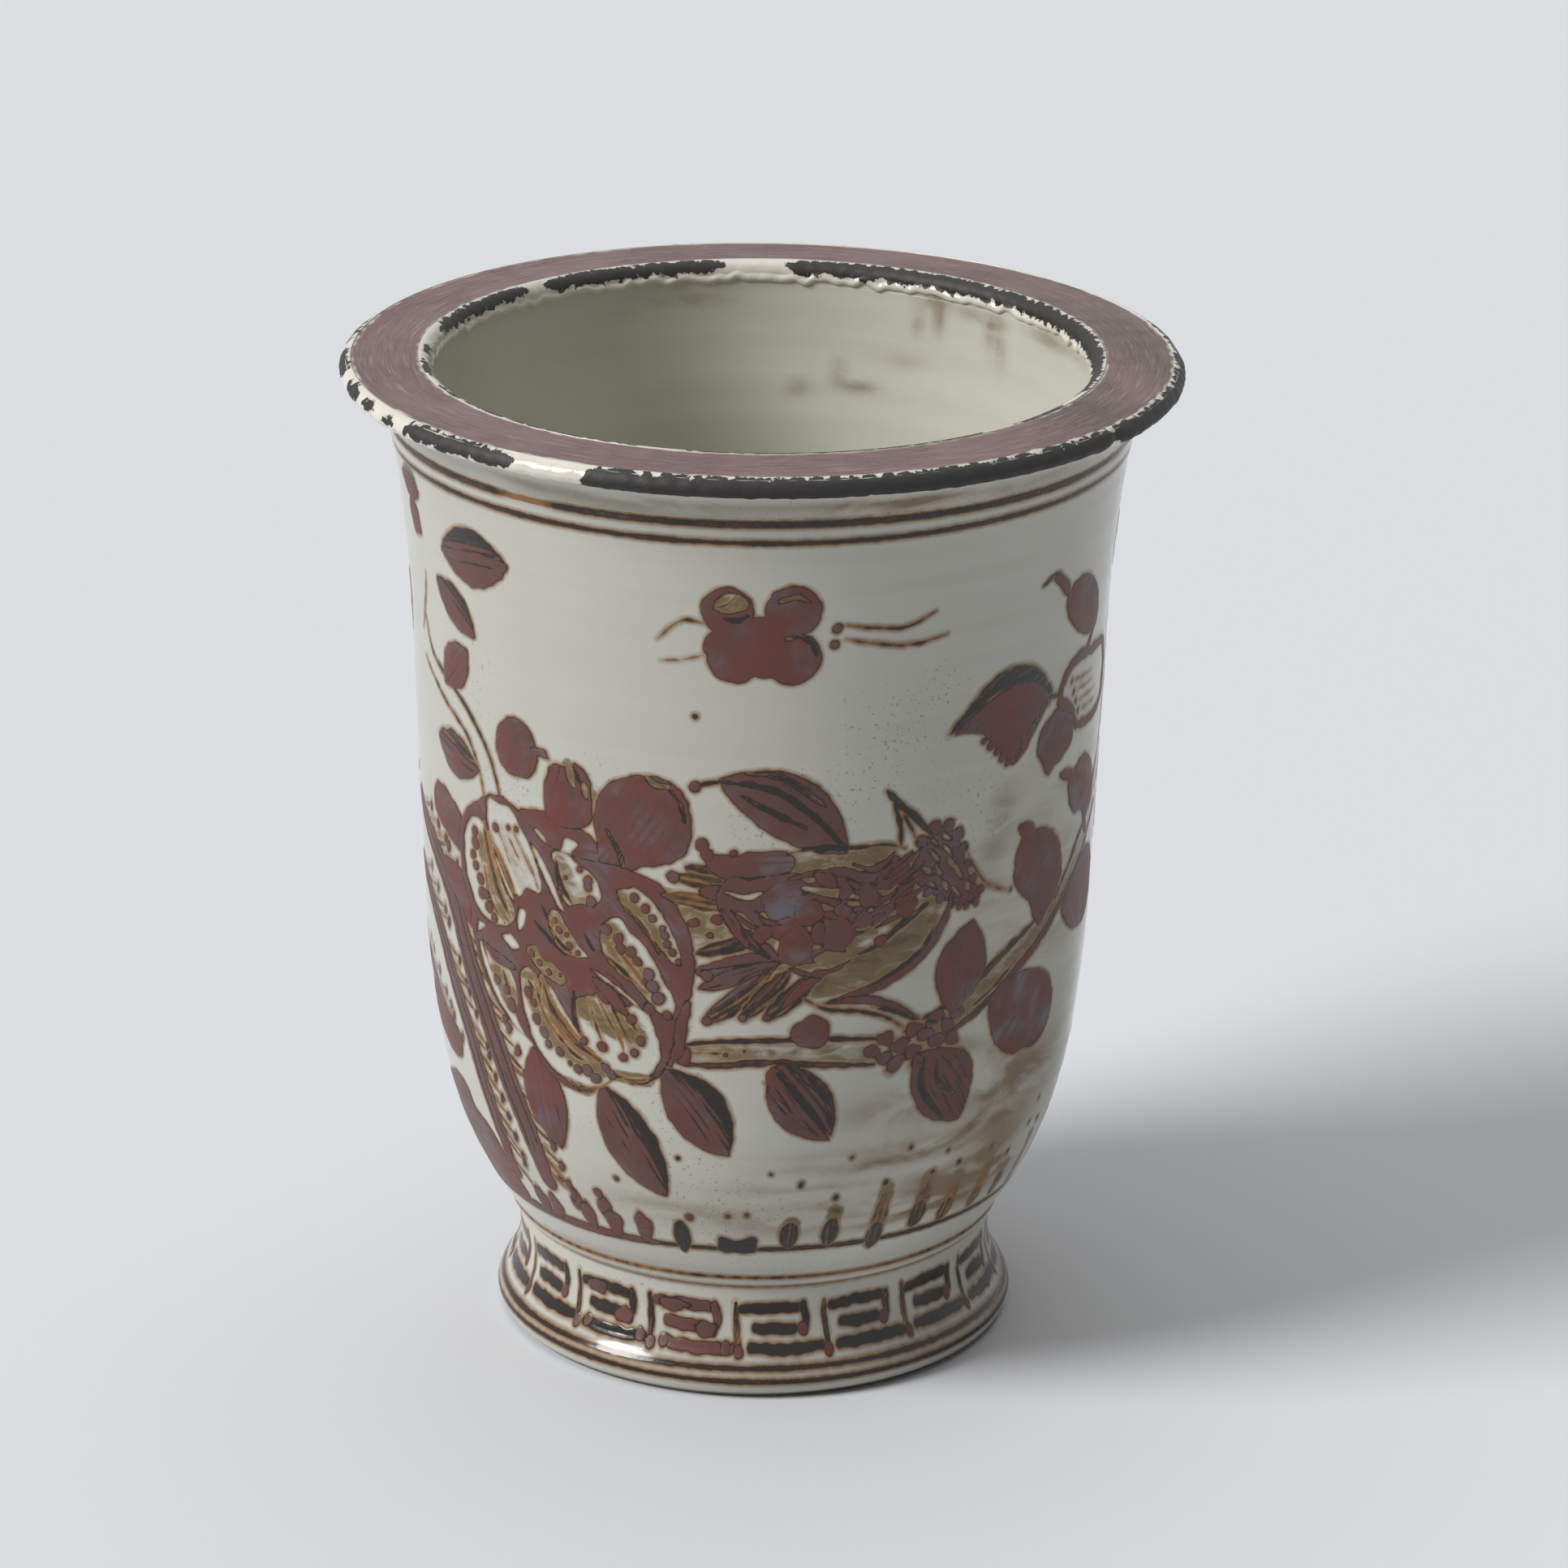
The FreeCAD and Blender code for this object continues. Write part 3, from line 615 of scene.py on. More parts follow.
PETAL_STROKES = [
    ([(-122, 251), (-117, 243), (-110, 236)], 1.8, 0.36),
    ([(-117, 252), (-111, 243), (-105, 235)], 1.6, 0.3),
    ([(-112, 251), (-106, 243), (-101, 234)], 1.8, 0.34),
    ([(-119, 245), (-112, 234), (-107, 226)], 1.5, 0.3),
    ([(-108, 246), (-102, 238), (-98, 229)], 1.6, 0.34),
    ([(-127, 246), (-119, 236), (-111, 223)], 3.6, 0.6),
    ([(-130, 249), (-128, 238), (-122, 222), (-114, 211)], 7.0, 0.62),
    ([(-131, 230), (-127, 216), (-118, 208)], 4, 0.5), ([(-133, 195), (-124, 191), (-113, 190)], 5.5, 0.95),
    ([(-121, 188), (-118, 180), (-113, 172)], 4.6, 0.62),
    ([(-97, 190), (-92, 177), (-81, 165), (-67, 158)], 8.0, 0.64),
    ([(-101, 187), (-97, 174), (-88, 163)], 2.6, 0.4), ([(-106, 188), (-101, 182)], 2.4, 0.36),
    ([(-90, 166), (-82, 159), (-74, 156)], 2.6, 0.5), ([(-80, 187), (-80, 175), (-76, 167)], 2.8, 0.75),
    ([(-73, 186), (-70, 175), (-67, 167)], 2.4, 0.42),
    ([(-69, 188), (-63, 177), (-58, 169), (-57, 163)], 3.4, 0.5),
    ([(-63, 186), (-57, 175), (-52, 167)], 2.8, 0.4), ([(-58, 186), (-52, 177), (-49, 172)], 2.6, 0.44),
    ([(-70, 195), (-61, 188), (-53, 180)], 6.0, 1.0), ([(-63, 198), (-53, 187)], 4.0, 1.0),
    ([(-62, 213), (-55, 206), (-48, 198), (-41, 190)], 3.6, 0.72),
    ([(-66, 208), (-58, 202), (-50, 196)], 3.0, 0.5), ([(-58, 232), (-48, 223), (-40, 211)], 2.2, 0.4),
    ([(-88, 244), (-85, 233), (-80, 226)], 3.0, 0.6), ([(-92, 214), (-86, 207), (-78, 203)], 2.6, 0.6),
]
PETAL_DOTS = [
    (-137, 243, 2.5), (-137, 238, 3.0), (-139, 232, 2.3), (-137, 228, 2.4), (-134, 223, 2.8),
    (-133, 217, 2.9), (-131, 217, 2.6), (-129, 212, 2.8), (-125, 208, 2.4), (-122, 249, 2.0),
    (-114, 251, 1.4), (-109, 252, 1.5), (-136, 197, 2.5), (-125, 181, 2.4), (-119, 178, 2.4),
    (-116, 172, 3.4), (-105, 181, 2.8), (-102, 177, 2.3), (-101, 170, 2.6), (-97, 165, 2.7),
    (-95, 160, 2.1), (-89, 158, 2.3), (-84, 154, 1.3), (-80, 152, 2.2), (-75, 153, 3.0), (-71, 150, 2.7),
    (-66, 156, 2.2), (-63, 153, 2.4), (-76, 166, 2.1), (-67, 165, 2.6), (-57, 162, 2.1), (-52, 165, 2.3),
    (-49, 171, 2.6), (-53, 180, 2.6), (-64, 218, 3.0), (-58, 215, 2.8), (-57, 211, 2.6), (-53, 210, 2.6),
    (-50, 206, 2.3), (-45, 201, 2.8), (-43, 196, 3.0), (-41, 191, 3.0), (-37, 184, 2.4), (-45, 186, 2.6),
    (-51, 234, 2.3), (-46, 230, 2.3), (-43, 226, 2.0), (-39, 222, 1.6), (-38, 219, 2.0), (-37, 215, 1.9),
    (-35, 212, 2.0), (-32, 208, 1.5), (-83, 237, 1.4), (-76, 242, 1.8), (-72, 238, 2.3), (-72, 235, 2.0),
    (-71, 229, 2.7), (-86, 230, 1.6), (-102, 199, 2.0), (-98, 196, 1.9), (-93, 193, 1.8), (-87, 193, 1.4),
    (-89, 217, 1.6), (-87, 213, 2.0), (-83, 212, 1.4), (-82, 207, 2.0), (-78, 205, 1.6),
]


def draw_peony(canvas):
    """A peony: a rust mass, pale petals wiped out of it, amber washes, strokes, and dots along the edges."""
    canvas.patch(PEONY, 1.0, 0.25, lean=(0.7, -0.7))
    for edge in PETALS:
        canvas.patch(edge, wipe=True)
    for path, width, amount in PETAL_WASHES:
        canvas.stain(path, width, amount)
    for path, width, load in PETAL_STROKES:
        broad = width > 3.2 and load < 0.8
        canvas.line(path, width, 0.27 if broad else load, 0.5, 0.5)
        if broad:
            canvas.line(path, width * 0.42, 0.40, 0.5, 0.4)
    canvas.dots(PETAL_DOTS)
    canvas.line([(-71, 199), (-61, 194), (-49, 186)], 1.9, wipe=True)
    canvas.lines([
        ([(-84, 146), (-76, 143), (-68, 147)], 2.6, 0.36),
        ([(-61, 154), (-52, 152), (-44, 155)], 2.4, 0.34),
        ([(-28, 190), (-31, 178), (-32, 170), (-36, 162)], 5.5, 1.0),
    ])
    for path in [[(-100, 214), (-92, 208), (-84, 203)], [(-96, 222), (-90, 214)], [(-74, 214), (-70, 208)]]:
        canvas.line(path, 1.5, 0.55)


def draw_blossoms(canvas):
    """Bud, round flower on its stem and the rust cloud that joins them above the peony."""
    canvas.patch([
        (-108, 260), (-101, 263), (-92, 264), (-84, 266), (-76, 261), (-68, 256), (-62, 250), (-66, 244),
        (-76, 245), (-80, 248), (-76, 253), (-83, 254), (-86, 247), (-91, 246), (-93, 252), (-98, 255),
        (-100, 249), (-105, 248), (-107, 253),
    ], 1.05, 0.2)
    canvas.patch([
        (-92, 262), (-93, 273), (-91, 282), (-87, 286), (-81, 286), (-77, 288), (-73, 286), (-70, 280),
        (-69, 272), (-70, 264), (-75, 260), (-84, 259),
    ], 1.0, 0.35, lean=(0.3, 0.95))
    canvas.stain([(-81, 287), (-78, 280)], 2.6, 1.0)
    canvas.line([(-80, 288), (-80, 283), (-78, 278)], 3.4, wipe=True)
    canvas.line([(-73, 280), (-72, 274)], 2.6, wipe=True)
    canvas.stain([(-80, 286), (-73, 276), (-69, 276)], 2.8, 1.0)
    canvas.line([(-79, 287), (-76, 282), (-73, 278)], 1.6, 0.52)
    canvas.patch([
        (-69, 266), (-67, 275), (-62, 282), (-54, 286), (-46, 288), (-37, 287), (-30, 282), (-27, 274),
        (-26, 265), (-28, 257), (-33, 252), (-41, 249), (-49, 247), (-53, 243), (-56, 236), (-62, 235),
        (-66, 241), (-67, 250), (-68, 258),
    ], 1.0, 0.3, lean=(0.6, 0.8))
    canvas.stain([(-46, 286), (-40, 285), (-36, 283)], 2.6, 1.0)
    canvas.line([(-45, 287), (-41, 284), (-36, 284)], 2.6, wipe=True)
    canvas.line([(-63, 262), (-57, 252), (-55, 243)], 2.0, 0.66, 0.5, 0.5)
    canvas.line([(-36, 283), (-31, 277), (-29, 269)], 1.8, 0.62, 0.5, 0.6)


TAIL = [
    ((-30, 250), (2, 243), 4.5, 0, 0.40, 0.45), ((-37, 246), (-4, 241), 3.6, 0, 0.36, 0.6),
    ((-39, 237), (2, 233), 4.2, 0, 0.34, 0.45), ((-24, 240), (8, 238), 4.2, 0, 1.0, 0.4),
    ((-26, 212), (8, 222), 3.8, 0, 0.42, 0.6), ((-25, 204), (16, 214), 5.4, -1, 1.0, 0.5),
    ((-24, 197), (10, 209), 3.8, 0, 0.9, 0.5), ((-22, 182), (7, 206), 5.4, -1, 0.40, 0.45),
    ((-7, 184), (15, 207), 4.8, -1, 0.42, 0.6), ((3, 184), (27, 206), 4.8, -1, 0.44, 0.6),
]
BIRD_BLOBS = [
    (11, 236, 8.5, 7.5, 1.2), (22, 231, 6, 6, 1.1), (16, 215, 7, 7, 1.2), (34, 221, 8, 7, 1.2),
    (64, 230, 5.5, 5, 1.1), (47, 236, 4.5, 4.5, 1.1), (3, 222, 4.5, 3.5, 1.0), (60, 244, 5, 4, 1.1),
    (37, 239, 3.4, 3, 1.0), (53, 216, 3, 3, 1.0), (45, 226, 4.5, 3.5, 1.0), (26, 222, 3, 5.5, 1.0),
    (36, 231, 4.5, 2.6, 1.0), (54, 241, 4.5, 3, 1.0), (29, 245, 5.5, 3, 1.0), (-25, 226, 3, 2.4, 0.95),
    (-19, 221, 2.2, 1.8, 0.8), (-16, 228, 2.4, 2.8, 1.0),
]
BIRD_NET = [
    ([(14, 246), (24, 248), (36, 248), (48, 244), (58, 248), (66, 253)], 4.4, 1.0),
    ([(20, 240), (30, 236), (42, 231), (56, 235), (66, 241), (72, 240)], 3.2, 1.0),
    ([(22, 228), (28, 217), (38, 213)], 3.0, 1.0), ([(28, 228), (42, 224), (54, 228)], 3.0, 1.0),
    ([(40, 251), (50, 248), (58, 254)], 3.0, 1.0), ([(-14, 232), (-8, 223), (-2, 215)], 3.0, 1.0),
    ([(-10, 232), (-3, 226), (6, 222)], 2.4, 1.0), ([(-6, 226), (0, 217), (6, 212)], 2.4, 0.9),
    ([(50, 222), (58, 225), (68, 228)], 3.0, 0.8), ([(68, 246), (62, 240), (60, 234)], 2.6, 1.0),
    ([(0, 232), (4, 228), (10, 226)], 2.4, 1.0), ([(38, 244), (44, 240), (50, 241)], 2.2, 1.0),
]
WING = [
    (-12, 246), (0, 246), (14, 249), (30, 247), (44, 248), (58, 253), (66, 246), (68, 238), (62, 231),
    (54, 225), (44, 219), (34, 212), (20, 208), (6, 211), (-5, 217), (-12, 225), (-16, 236),
]
WING_GAPS = [
    ([(19, 242), (28, 240), (37, 238), (43, 236)], 3.4), ([(39, 234), (44, 231), (49, 230)], 4.6),
    ([(52, 238), (57, 237), (63, 240)], 3.8), ([(47, 244), (55, 243)], 2.6),
    ([(20, 226), (26, 223), (31, 227)], 3.4), ([(4, 220), (9, 217), (12, 212)], 4.0),
    ([(-8, 231), (-4, 227), (1, 223)], 3.6), ([(2, 231), (7, 228)], 2.8), ([(26, 234), (32, 232)], 2.8),
    ([(24, 215), (28, 218), (27, 222)], 2.8), ([(-12, 240), (-4, 238), (2, 240)], 2.6),
    ([(50, 233), (56, 233)], 2.6), ([(42, 222), (48, 223)], 2.4),
]
WING_BANDS = [
    [(18, 247), (23, 251), (31, 251), (28, 247), (22, 244)],
    [(33, 250), (41, 255), (51, 255), (49, 250), (40, 248)],
    [(24, 211), (36, 216), (48, 222), (58, 227), (66, 230), (58, 221), (44, 212), (31, 208)],
]
HEAD = [
    (66, 246), (71, 256), (76, 262), (83, 261), (89, 254), (92, 246), (95, 238), (100, 231), (101, 226),
    (94, 224), (86, 227), (80, 230), (74, 234), (68, 239),
]
HEAD_EDGE = [
    (70, 257, 3.0), (76, 262, 3.4), (83, 262, 3.0), (88, 257, 3.2), (91, 250, 2.6), (94, 243, 2.4),
    (97, 236, 2.2), (101, 230, 2.0), (74, 234, 2.6), (80, 230, 2.4),
]
HEAD_GAPS = [
    (76, 256, -50), (82, 257, -40), (77, 249, -52), (83, 251, -48), (73, 244, -44), (79, 243, -58),
    (85, 245, -60), (89, 240, -62), (76, 237, -40), (82, 236, -62), (88, 232, -50), (94, 233, -70),
]


def draw_bird(canvas):
    """A perched bird that looks right.

    It has a streaked tail, a rust wing with pale gaps and bands under a net and blobs, a spotted head, a
    crest, a beak, a belly and legs."""
    for path, width, amount in [
        ([(16, 253), (34, 252), (56, 255)], 4.5, 0.9), ([(-29, 227), (-14, 220), (2, 222)], 8, 0.85),
        ([(36, 206), (54, 208), (72, 221)], 9.5, 1.0), ([(60, 225), (78, 229)], 5, 0.8),
        ([(26, 199), (50, 201), (66, 208)], 6, 1.0), ([(12, 208), (38, 210)], 3.5, 0.9),
        ([(20, 228), (40, 234), (60, 238)], 12, 0.8), ([(-38, 237), (-16, 236)], 3.5, 0.9),
    ]:
        canvas.stain(path, width, amount)
    for a, b, half, bow, load, streak in TAIL:
        canvas.leaf(a, b, half, bow, load, streak, power=0.5)
    canvas.patch([
        (-22, 257), (-12, 256), (0, 258), (12, 258), (16, 254), (14, 249), (6, 244), (-4, 243), (-14, 246),
        (-20, 251),
    ], 1.1, 0.25)
    canvas.dots([
        (-22, 260, 3.0), (-20, 256, 3.0), (-34, 245, 2.8), (-20, 203, 2.6), (-20, 183, 2.2), (-5, 185, 2.0),
        (5, 185, 1.8), (-9, 257, 2),
    ])
    canvas.patch([
        (-10, 246), (4, 247), (18, 248), (26, 244), (20, 239), (8, 238), (-4, 240), (-14, 240),
    ], 1.0, 0.4)
    canvas.lines([
        ([(-18, 188), (-6, 198), (5, 206)], 2.8, 1.0, 0.5),
        ([(-2, 190), (6, 198), (13, 206)], 2.4, 0.95, 0.5),
        ([(12, 190), (21, 199), (28, 203)], 5.0, 1.0, 0.5),
        ([(36, 211), (48, 214), (58, 220), (74, 229)], 5.5, 0.62, 0.4, 0.6),
        ([(40, 209), (32, 205), (22, 204), (12, 208)], 3.0, 0.85, 0.4),
    ])
    canvas.patch(WING, 1.0, 0.25, lean=(0.9, 0.3))
    for path, width in WING_GAPS:
        canvas.line(path, width, thin=0.5, wipe=True)
    for edge in WING_BANDS:
        canvas.patch(edge, wipe=True)
        canvas.stain([edge[0], edge[2]], 5, 0.95)
    for path, width, load in BIRD_NET:
        canvas.line(path, width, load, 0.4, 0.2)
    for u, z, ru, rz, load in BIRD_BLOBS:
        canvas.blob((u, z), ru, rz, (u * 37 + z * 11) % 80 - 40, load, 0.15)
    canvas.patch(HEAD, 1.0, 0.35)
    canvas.dots(HEAD_EDGE)
    for k in range(4):
        canvas.line([
            (54 + 2 * k, 243 - 4 * k), (62 + 2 * k, 248 - 4.4 * k), (70 + 2 * k, 254 - 5.4 * k),
        ], 2.5, 1.0, 0.4)
    for u, z, tilt in HEAD_GAPS:
        canvas.blob((u, z), 1.9 + u % 3 * 0.5, 0.95, tilt, wipe=True)
    canvas.stain([(66, 244), (78, 243), (92, 234)], 9, 0.75)
    canvas.dots([(86, 226, 1.7), (90, 225, 1.7), (94, 224, 1.7), (99, 225, 2.0), (96, 228, 1.9)])
    canvas.lines([
        ([(54, 281), (60, 274), (67, 268), (74, 260)], 4.0, 0.66, 0.4, 0.3),
        ([(57, 276), (60, 266), (61, 256)], 2.8, 0.6, 0.4),
        ([(61, 271), (66, 262), (68, 257)], 2.2, 0.5, 0.4),
        ([(92, 250), (97, 241), (103, 233), (111, 228), (119, 225)], 2.1, 0.4, 0.3),
    ])
    canvas.dots([(119, 225, 1.3)], 0.8)
    canvas.lines([
        ([(13, 257), (24, 259), (42, 258), (54, 258), (63, 255)], 2.4, 0.52, 0.3),
        ([(86, 231), (83, 221), (76, 211), (66, 203), (54, 197), (44, 194),
         (32, 191)], 5.6, 0.98, 0.4, 0.4),
        ([(80, 222), (72, 210), (60, 202), (48, 197)], 2.2, 0.5, 0.5),
        ([(21, 193), (30, 188), (44, 186), (56, 182), (66, 175)], 2.6, 0.52, 0.3),
        ([(26, 191), (40, 190), (52, 189)], 1.8, 0.45, 0.4),
        ([(34, 191), (46, 191), (56, 188), (64, 184), (72, 179)], 4.4, 0.98, 0.5, 0.2),
        ([(50, 187), (60, 184), (70, 179), (80, 176)], 2.4, 0.55, 0.4),
    ])


def draw_branches(canvas):
    """Branches drawn as pairs of lines, some with a thin core, and the knot under the bird's feet."""
    canvas.stain([(-30, 167), (10, 170), (50, 166)], 5, 0.55)
    canvas.lines([
        ([(-34, 171), (-14, 174), (15, 175), (40, 174), (62, 171)], 3.0, 0.62, 0.3),
        ([(-37, 163), (-16, 163), (5, 165), (30, 163), (52, 161)], 3.6, 0.66, 0.3),
        ([(-30, 168), (-10, 169)], 1.4, 0.5),
    ])
    canvas.dots([(-12, 168, 1.6), (-4, 170, 1.2)], 0.9)
    canvas.dots([(-31, 167, 4.5), (-33, 173, 3.5)])
    canvas.stain([(84, 174), (112, 186), (148, 203), (172, 222), (204, 250)], 6, 0.9)
    canvas.lines([
        ([(74, 178), (92, 184), (105, 191), (120, 199), (138, 206)], 3.8, 0.72, 0.3, 0.3),
        ([(154, 211), (164, 220), (174, 229), (186, 239), (205, 262)], 4.0, 0.72, 0.3, 0.3),
        ([(84, 167), (100, 174), (114, 181), (130, 190), (145, 198), (160, 208), (180, 220),
         (202, 238)], 5.0, 0.8, 0.3, 0.3),
        ([(96, 176), (112, 184), (130, 195)], 2.6, 0.42, 0.6),
    ])
    knots = [
        (51, 167), (57, 172), (57, 163), (64, 168), (70, 174), (70, 164), (76, 171), (80, 177), (82, 167),
        (87, 173), (91, 178), (90, 166), (62, 160), (74, 160),
    ]
    for u, z in knots:
        canvas.blob((u, z), 4.2 + (u % 3) * 0.6, 3.4, (u * 29) % 90 - 45, 1.0, 0.1)
    canvas.blob((24, 178), 8.5, 7.5, streak=0.3)
    canvas.lines([
        ([(-178, 326), (-170, 311), (-150, 302), (-135, 292), (-124, 279), (-118, 262)], 2.6, 0.5, 0.3),
        ([(-180, 306), (-160, 295), (-141, 285), (-132, 271), (-128, 256)], 2.2, 0.42, 0.3),
        ([(-172, 345), (-176, 332), (-182, 318)], 2.2, 0.4),
        ([(128, 355), (138, 357), (150, 346)], 3.4, 0.75, 0.5),
        ([(205, 262), (214, 285), (222, 312), (226, 340)], 3.4, 0.65, 0.3),
        ([(202, 244), (222, 256), (250, 262), (290, 252), (330, 236), (350, 214)], 3.6, 0.66, 0.3),
        ([(208, 236), (226, 248), (250, 254), (290, 244), (330, 226), (346, 206)], 2.6, 0.5, 0.3),
    ])


LEAVES = [
    ((-152, 362), (-107, 366), 13, 0, 0.5, 0.4), ((-160, 347), (-131, 329), 8.5, 1, 0.5, 0.45),
    ((-158, 302), (-138, 322), 9.5, 0, 0.4, 0.0), ((-167, 277), (-132, 271), 10, -1, 0.4, 0.6),
    ((-190, 384), (-168, 380), 8, 0, 0.5, 0.5), ((-15, 289), (38, 256), 14, 5, 0.2, 0.28),
    ((88, 178), (98, 217), 13.5, 0, 0.3, 0.0), ((-104, 157), (-94, 111), 12, -1, 0.35, 0.2),
    ((-69, 148), (-41, 98), 13, -1, 0.55, 0.45), ((-39, 160), (-11, 121), 13.5, 1, 0.55, 0.45),
    ((7, 164), (34, 128), 13.5, 0, 0.85, 0.35), ((72, 162), (99, 127), 16, 3, 0.7, 0.2),
]
BACK_LEAVES = [
    ((232, 330), (216, 362), 10, 0, 0.5, 0.2), ((226, 300), (252, 322), 10, 1, 0.5, 0.3),
    ((244, 262), (236, 296), 11, 0, 0.4, 0.2), ((262, 250), (276, 214), 12, -1, 0.5, 0.3),
    ((284, 256), (300, 288), 11, 1, 0.5, 0.0), ((316, 240), (330, 272), 11, 0, 0.4, 0.3),
    ((300, 236), (306, 204), 11, 1, 0.4, 0.0), ((226, 236), (240, 206), 11, 0, 0.5, 0.2),
    ((360, 146), (334, 108), 13, 1, 0.5, 0.3), ((392, 142), (398, 98), 12, -1, 0.5, 0.2),
    ((424, 148), (446, 106), 12, 1, 0.6, 0.3), ((280, 168), (262, 132), 12, 0, 0.5, 0.2),
    ((-420, 296), (-396, 330), 11, 1, 0.5, 0.2), ((-436, 262), (-402, 270), 10, 0, 0.5, 0.3),
    ((-380, 170), (-362, 130), 12, 0, 0.5, 0.2), ((-330, 160), (-310, 122), 12, 1, 0.5, 0.3),
    ((-270, 150), (-250, 112), 12, -1, 0.5, 0.2), ((-230, 300), (-212, 334), 11, 1, 0.5, 0.2),
]
RIGHT_LEAVES = [
    [(147, 344), (152, 350), (163, 351), (173, 346), (181, 338), (184, 329), (181, 322), (172, 321),
     (162, 325), (153, 332), (148, 338)],
    [(133, 289), (139, 294), (147, 297), (156, 294), (161, 288), (161, 279), (154, 274), (147, 272),
     (141, 269), (136, 275), (132, 282)],
    [(160, 261), (168, 266), (178, 268), (188, 262), (195, 252), (196, 243), (190, 238), (182, 236),
     (178, 242), (169, 244), (162, 251)],
    [(122, 242), (128, 248), (140, 247), (150, 242), (157, 233), (159, 222), (155, 213), (147, 207),
     (141, 203), (136, 208), (132, 216), (125, 222), (121, 231)],
    [(161, 205), (168, 214), (178, 221), (190, 223), (201, 219), (208, 209), (207, 196), (199, 188),
     (186, 187), (175, 190), (165, 197)],
    [(110, 178), (117, 184), (127, 186), (141, 184), (151, 179), (158, 170), (159, 161), (156, 152),
     (148, 147), (138, 148), (126, 149), (117, 156), (111, 167)],
    [(-177, 247), (-173, 253), (-165, 255), (-156, 252), (-149, 248), (-144, 242), (-143, 234), (-149, 230),
     (-158, 232), (-167, 236), (-175, 240)],
    [(-120, 285), (-117, 296), (-108, 301), (-100, 297), (-96, 289), (-98, 279), (-106, 275), (-115, 277)],
]


def draw_leaves(canvas):
    """Rust leaves with dark brush streaks and amber sides, some with drawn ribs, and a pale-hearted one."""
    canvas.line([(-26, 285), (-18, 287), (-8, 289)], 2.6, 0.55)
    canvas.dots([(-25, 285, 2.6)])
    for a, b, half, bow, streak, amber in LEAVES:
        canvas.leaf(a, b, half, bow, 1.0, streak, amber)
    for number, edge in enumerate(RIGHT_LEAVES):
        canvas.patch(edge, 1.0 + number % 3 * 0.08, 0.25, lean=(0.75, 0.66))
    canvas.blob((-178, 368), 6, 9, 15, 1.0, 0.4)
    canvas.lines([
        ([(-14, 288), (8, 284), (26, 270), (38, 256)], 2.6, 0.5, 0.5),
        ([(-4, 292), (12, 289), (28, 277)], 2.0, 0.42, 0.6),
        ([(-6, 282), (8, 274), (20, 268)], 2.4, 0.45, 0.6),
        ([(10, 160), (20, 148), (33, 130)], 3.4, 0.5, 0.6),
        ([(4, 156), (14, 143), (28, 131)], 2.2, 1.0, 0.6),
        ([(16, 160), (28, 148), (33, 138)], 2.2, 0.95, 0.6),
        ([(76, 160), (76, 146), (88, 130)], 3.2, 0.48, 0.6),
        ([(82, 158), (84, 148), (94, 140)], 2.2, 0.42, 0.6),
        ([(-99, 289), (-94, 289), (-90, 287)], 4, 1.0, 0.6),
    ])
    canvas.patch([
        (80, 300), (88, 309), (99, 319), (112, 324), (125, 322), (135, 315), (142, 306), (139, 300),
        (131, 300), (118, 306), (102, 306), (90, 302),
    ], 0.5, 0.5, lean=(0.95, 0.3))
    canvas.patch([
        (84, 301), (98, 310), (112, 315), (126, 314), (138, 305), (135, 297), (129, 291), (123, 284),
        (116, 281), (110, 286), (104, 292), (98, 298), (90, 300),
    ], 1.05, 0.3, lean=(0.9, 0.3))
    canvas.dots([(137 - 3 * k, 302 - 2.8 * k, 1.7 + k % 2 * 0.4) for k in range(8)])
    canvas.dots([(113 - 3.4 * k, 282 + 3.2 * k, 1.6 + k % 2 * 0.5) for k in range(5)])
    canvas.lines([
        ([(139, 304), (144, 303), (149, 302)], 3.2, 0.5),
        ([(136, 356), (142, 353), (150, 345)], 5.6, 1.0, 0.4),
        ([(180, 324), (174, 317), (168, 313)], 4.0, 0.9, 0.4),
        ([(124, 251), (129, 248), (134, 242)], 8, 1.0, 0.4),
        ([(152, 266), (160, 264), (168, 258)], 5.6, 1.0, 0.4),
        ([(182, 238), (186, 232), (190, 228)], 4.6, 0.9, 0.4),
    ])
    canvas.patch([
        (145, 300), (148, 308), (154, 314), (166, 317), (182, 315), (200, 313), (208, 300), (204, 286),
        (192, 280), (176, 280), (162, 283), (158, 291), (149, 295),
    ], 0.95)
    canvas.patch([
        (151, 301), (154, 307), (162, 311), (180, 310), (197, 308), (202, 298), (198, 288), (188, 285),
        (175, 285), (165, 287), (160, 295),
    ], wipe=True)
    for k in range(4):
        left = 158 + 2.6 * k
        canvas.line([
            (left, 305 - 5 * k), (left + 12, 304 - 4.9 * k), (left + 24, 303 - 4.8 * k),
        ], 2.2, 0.34, 0.7)
        canvas.dots([(left, 305 - 5 * k, 1.6)], 0.55)
    for a, b, half, bow, streak, amber in BACK_LEAVES:
        canvas.leaf(a, b, half, bow, 1.0, streak, amber)


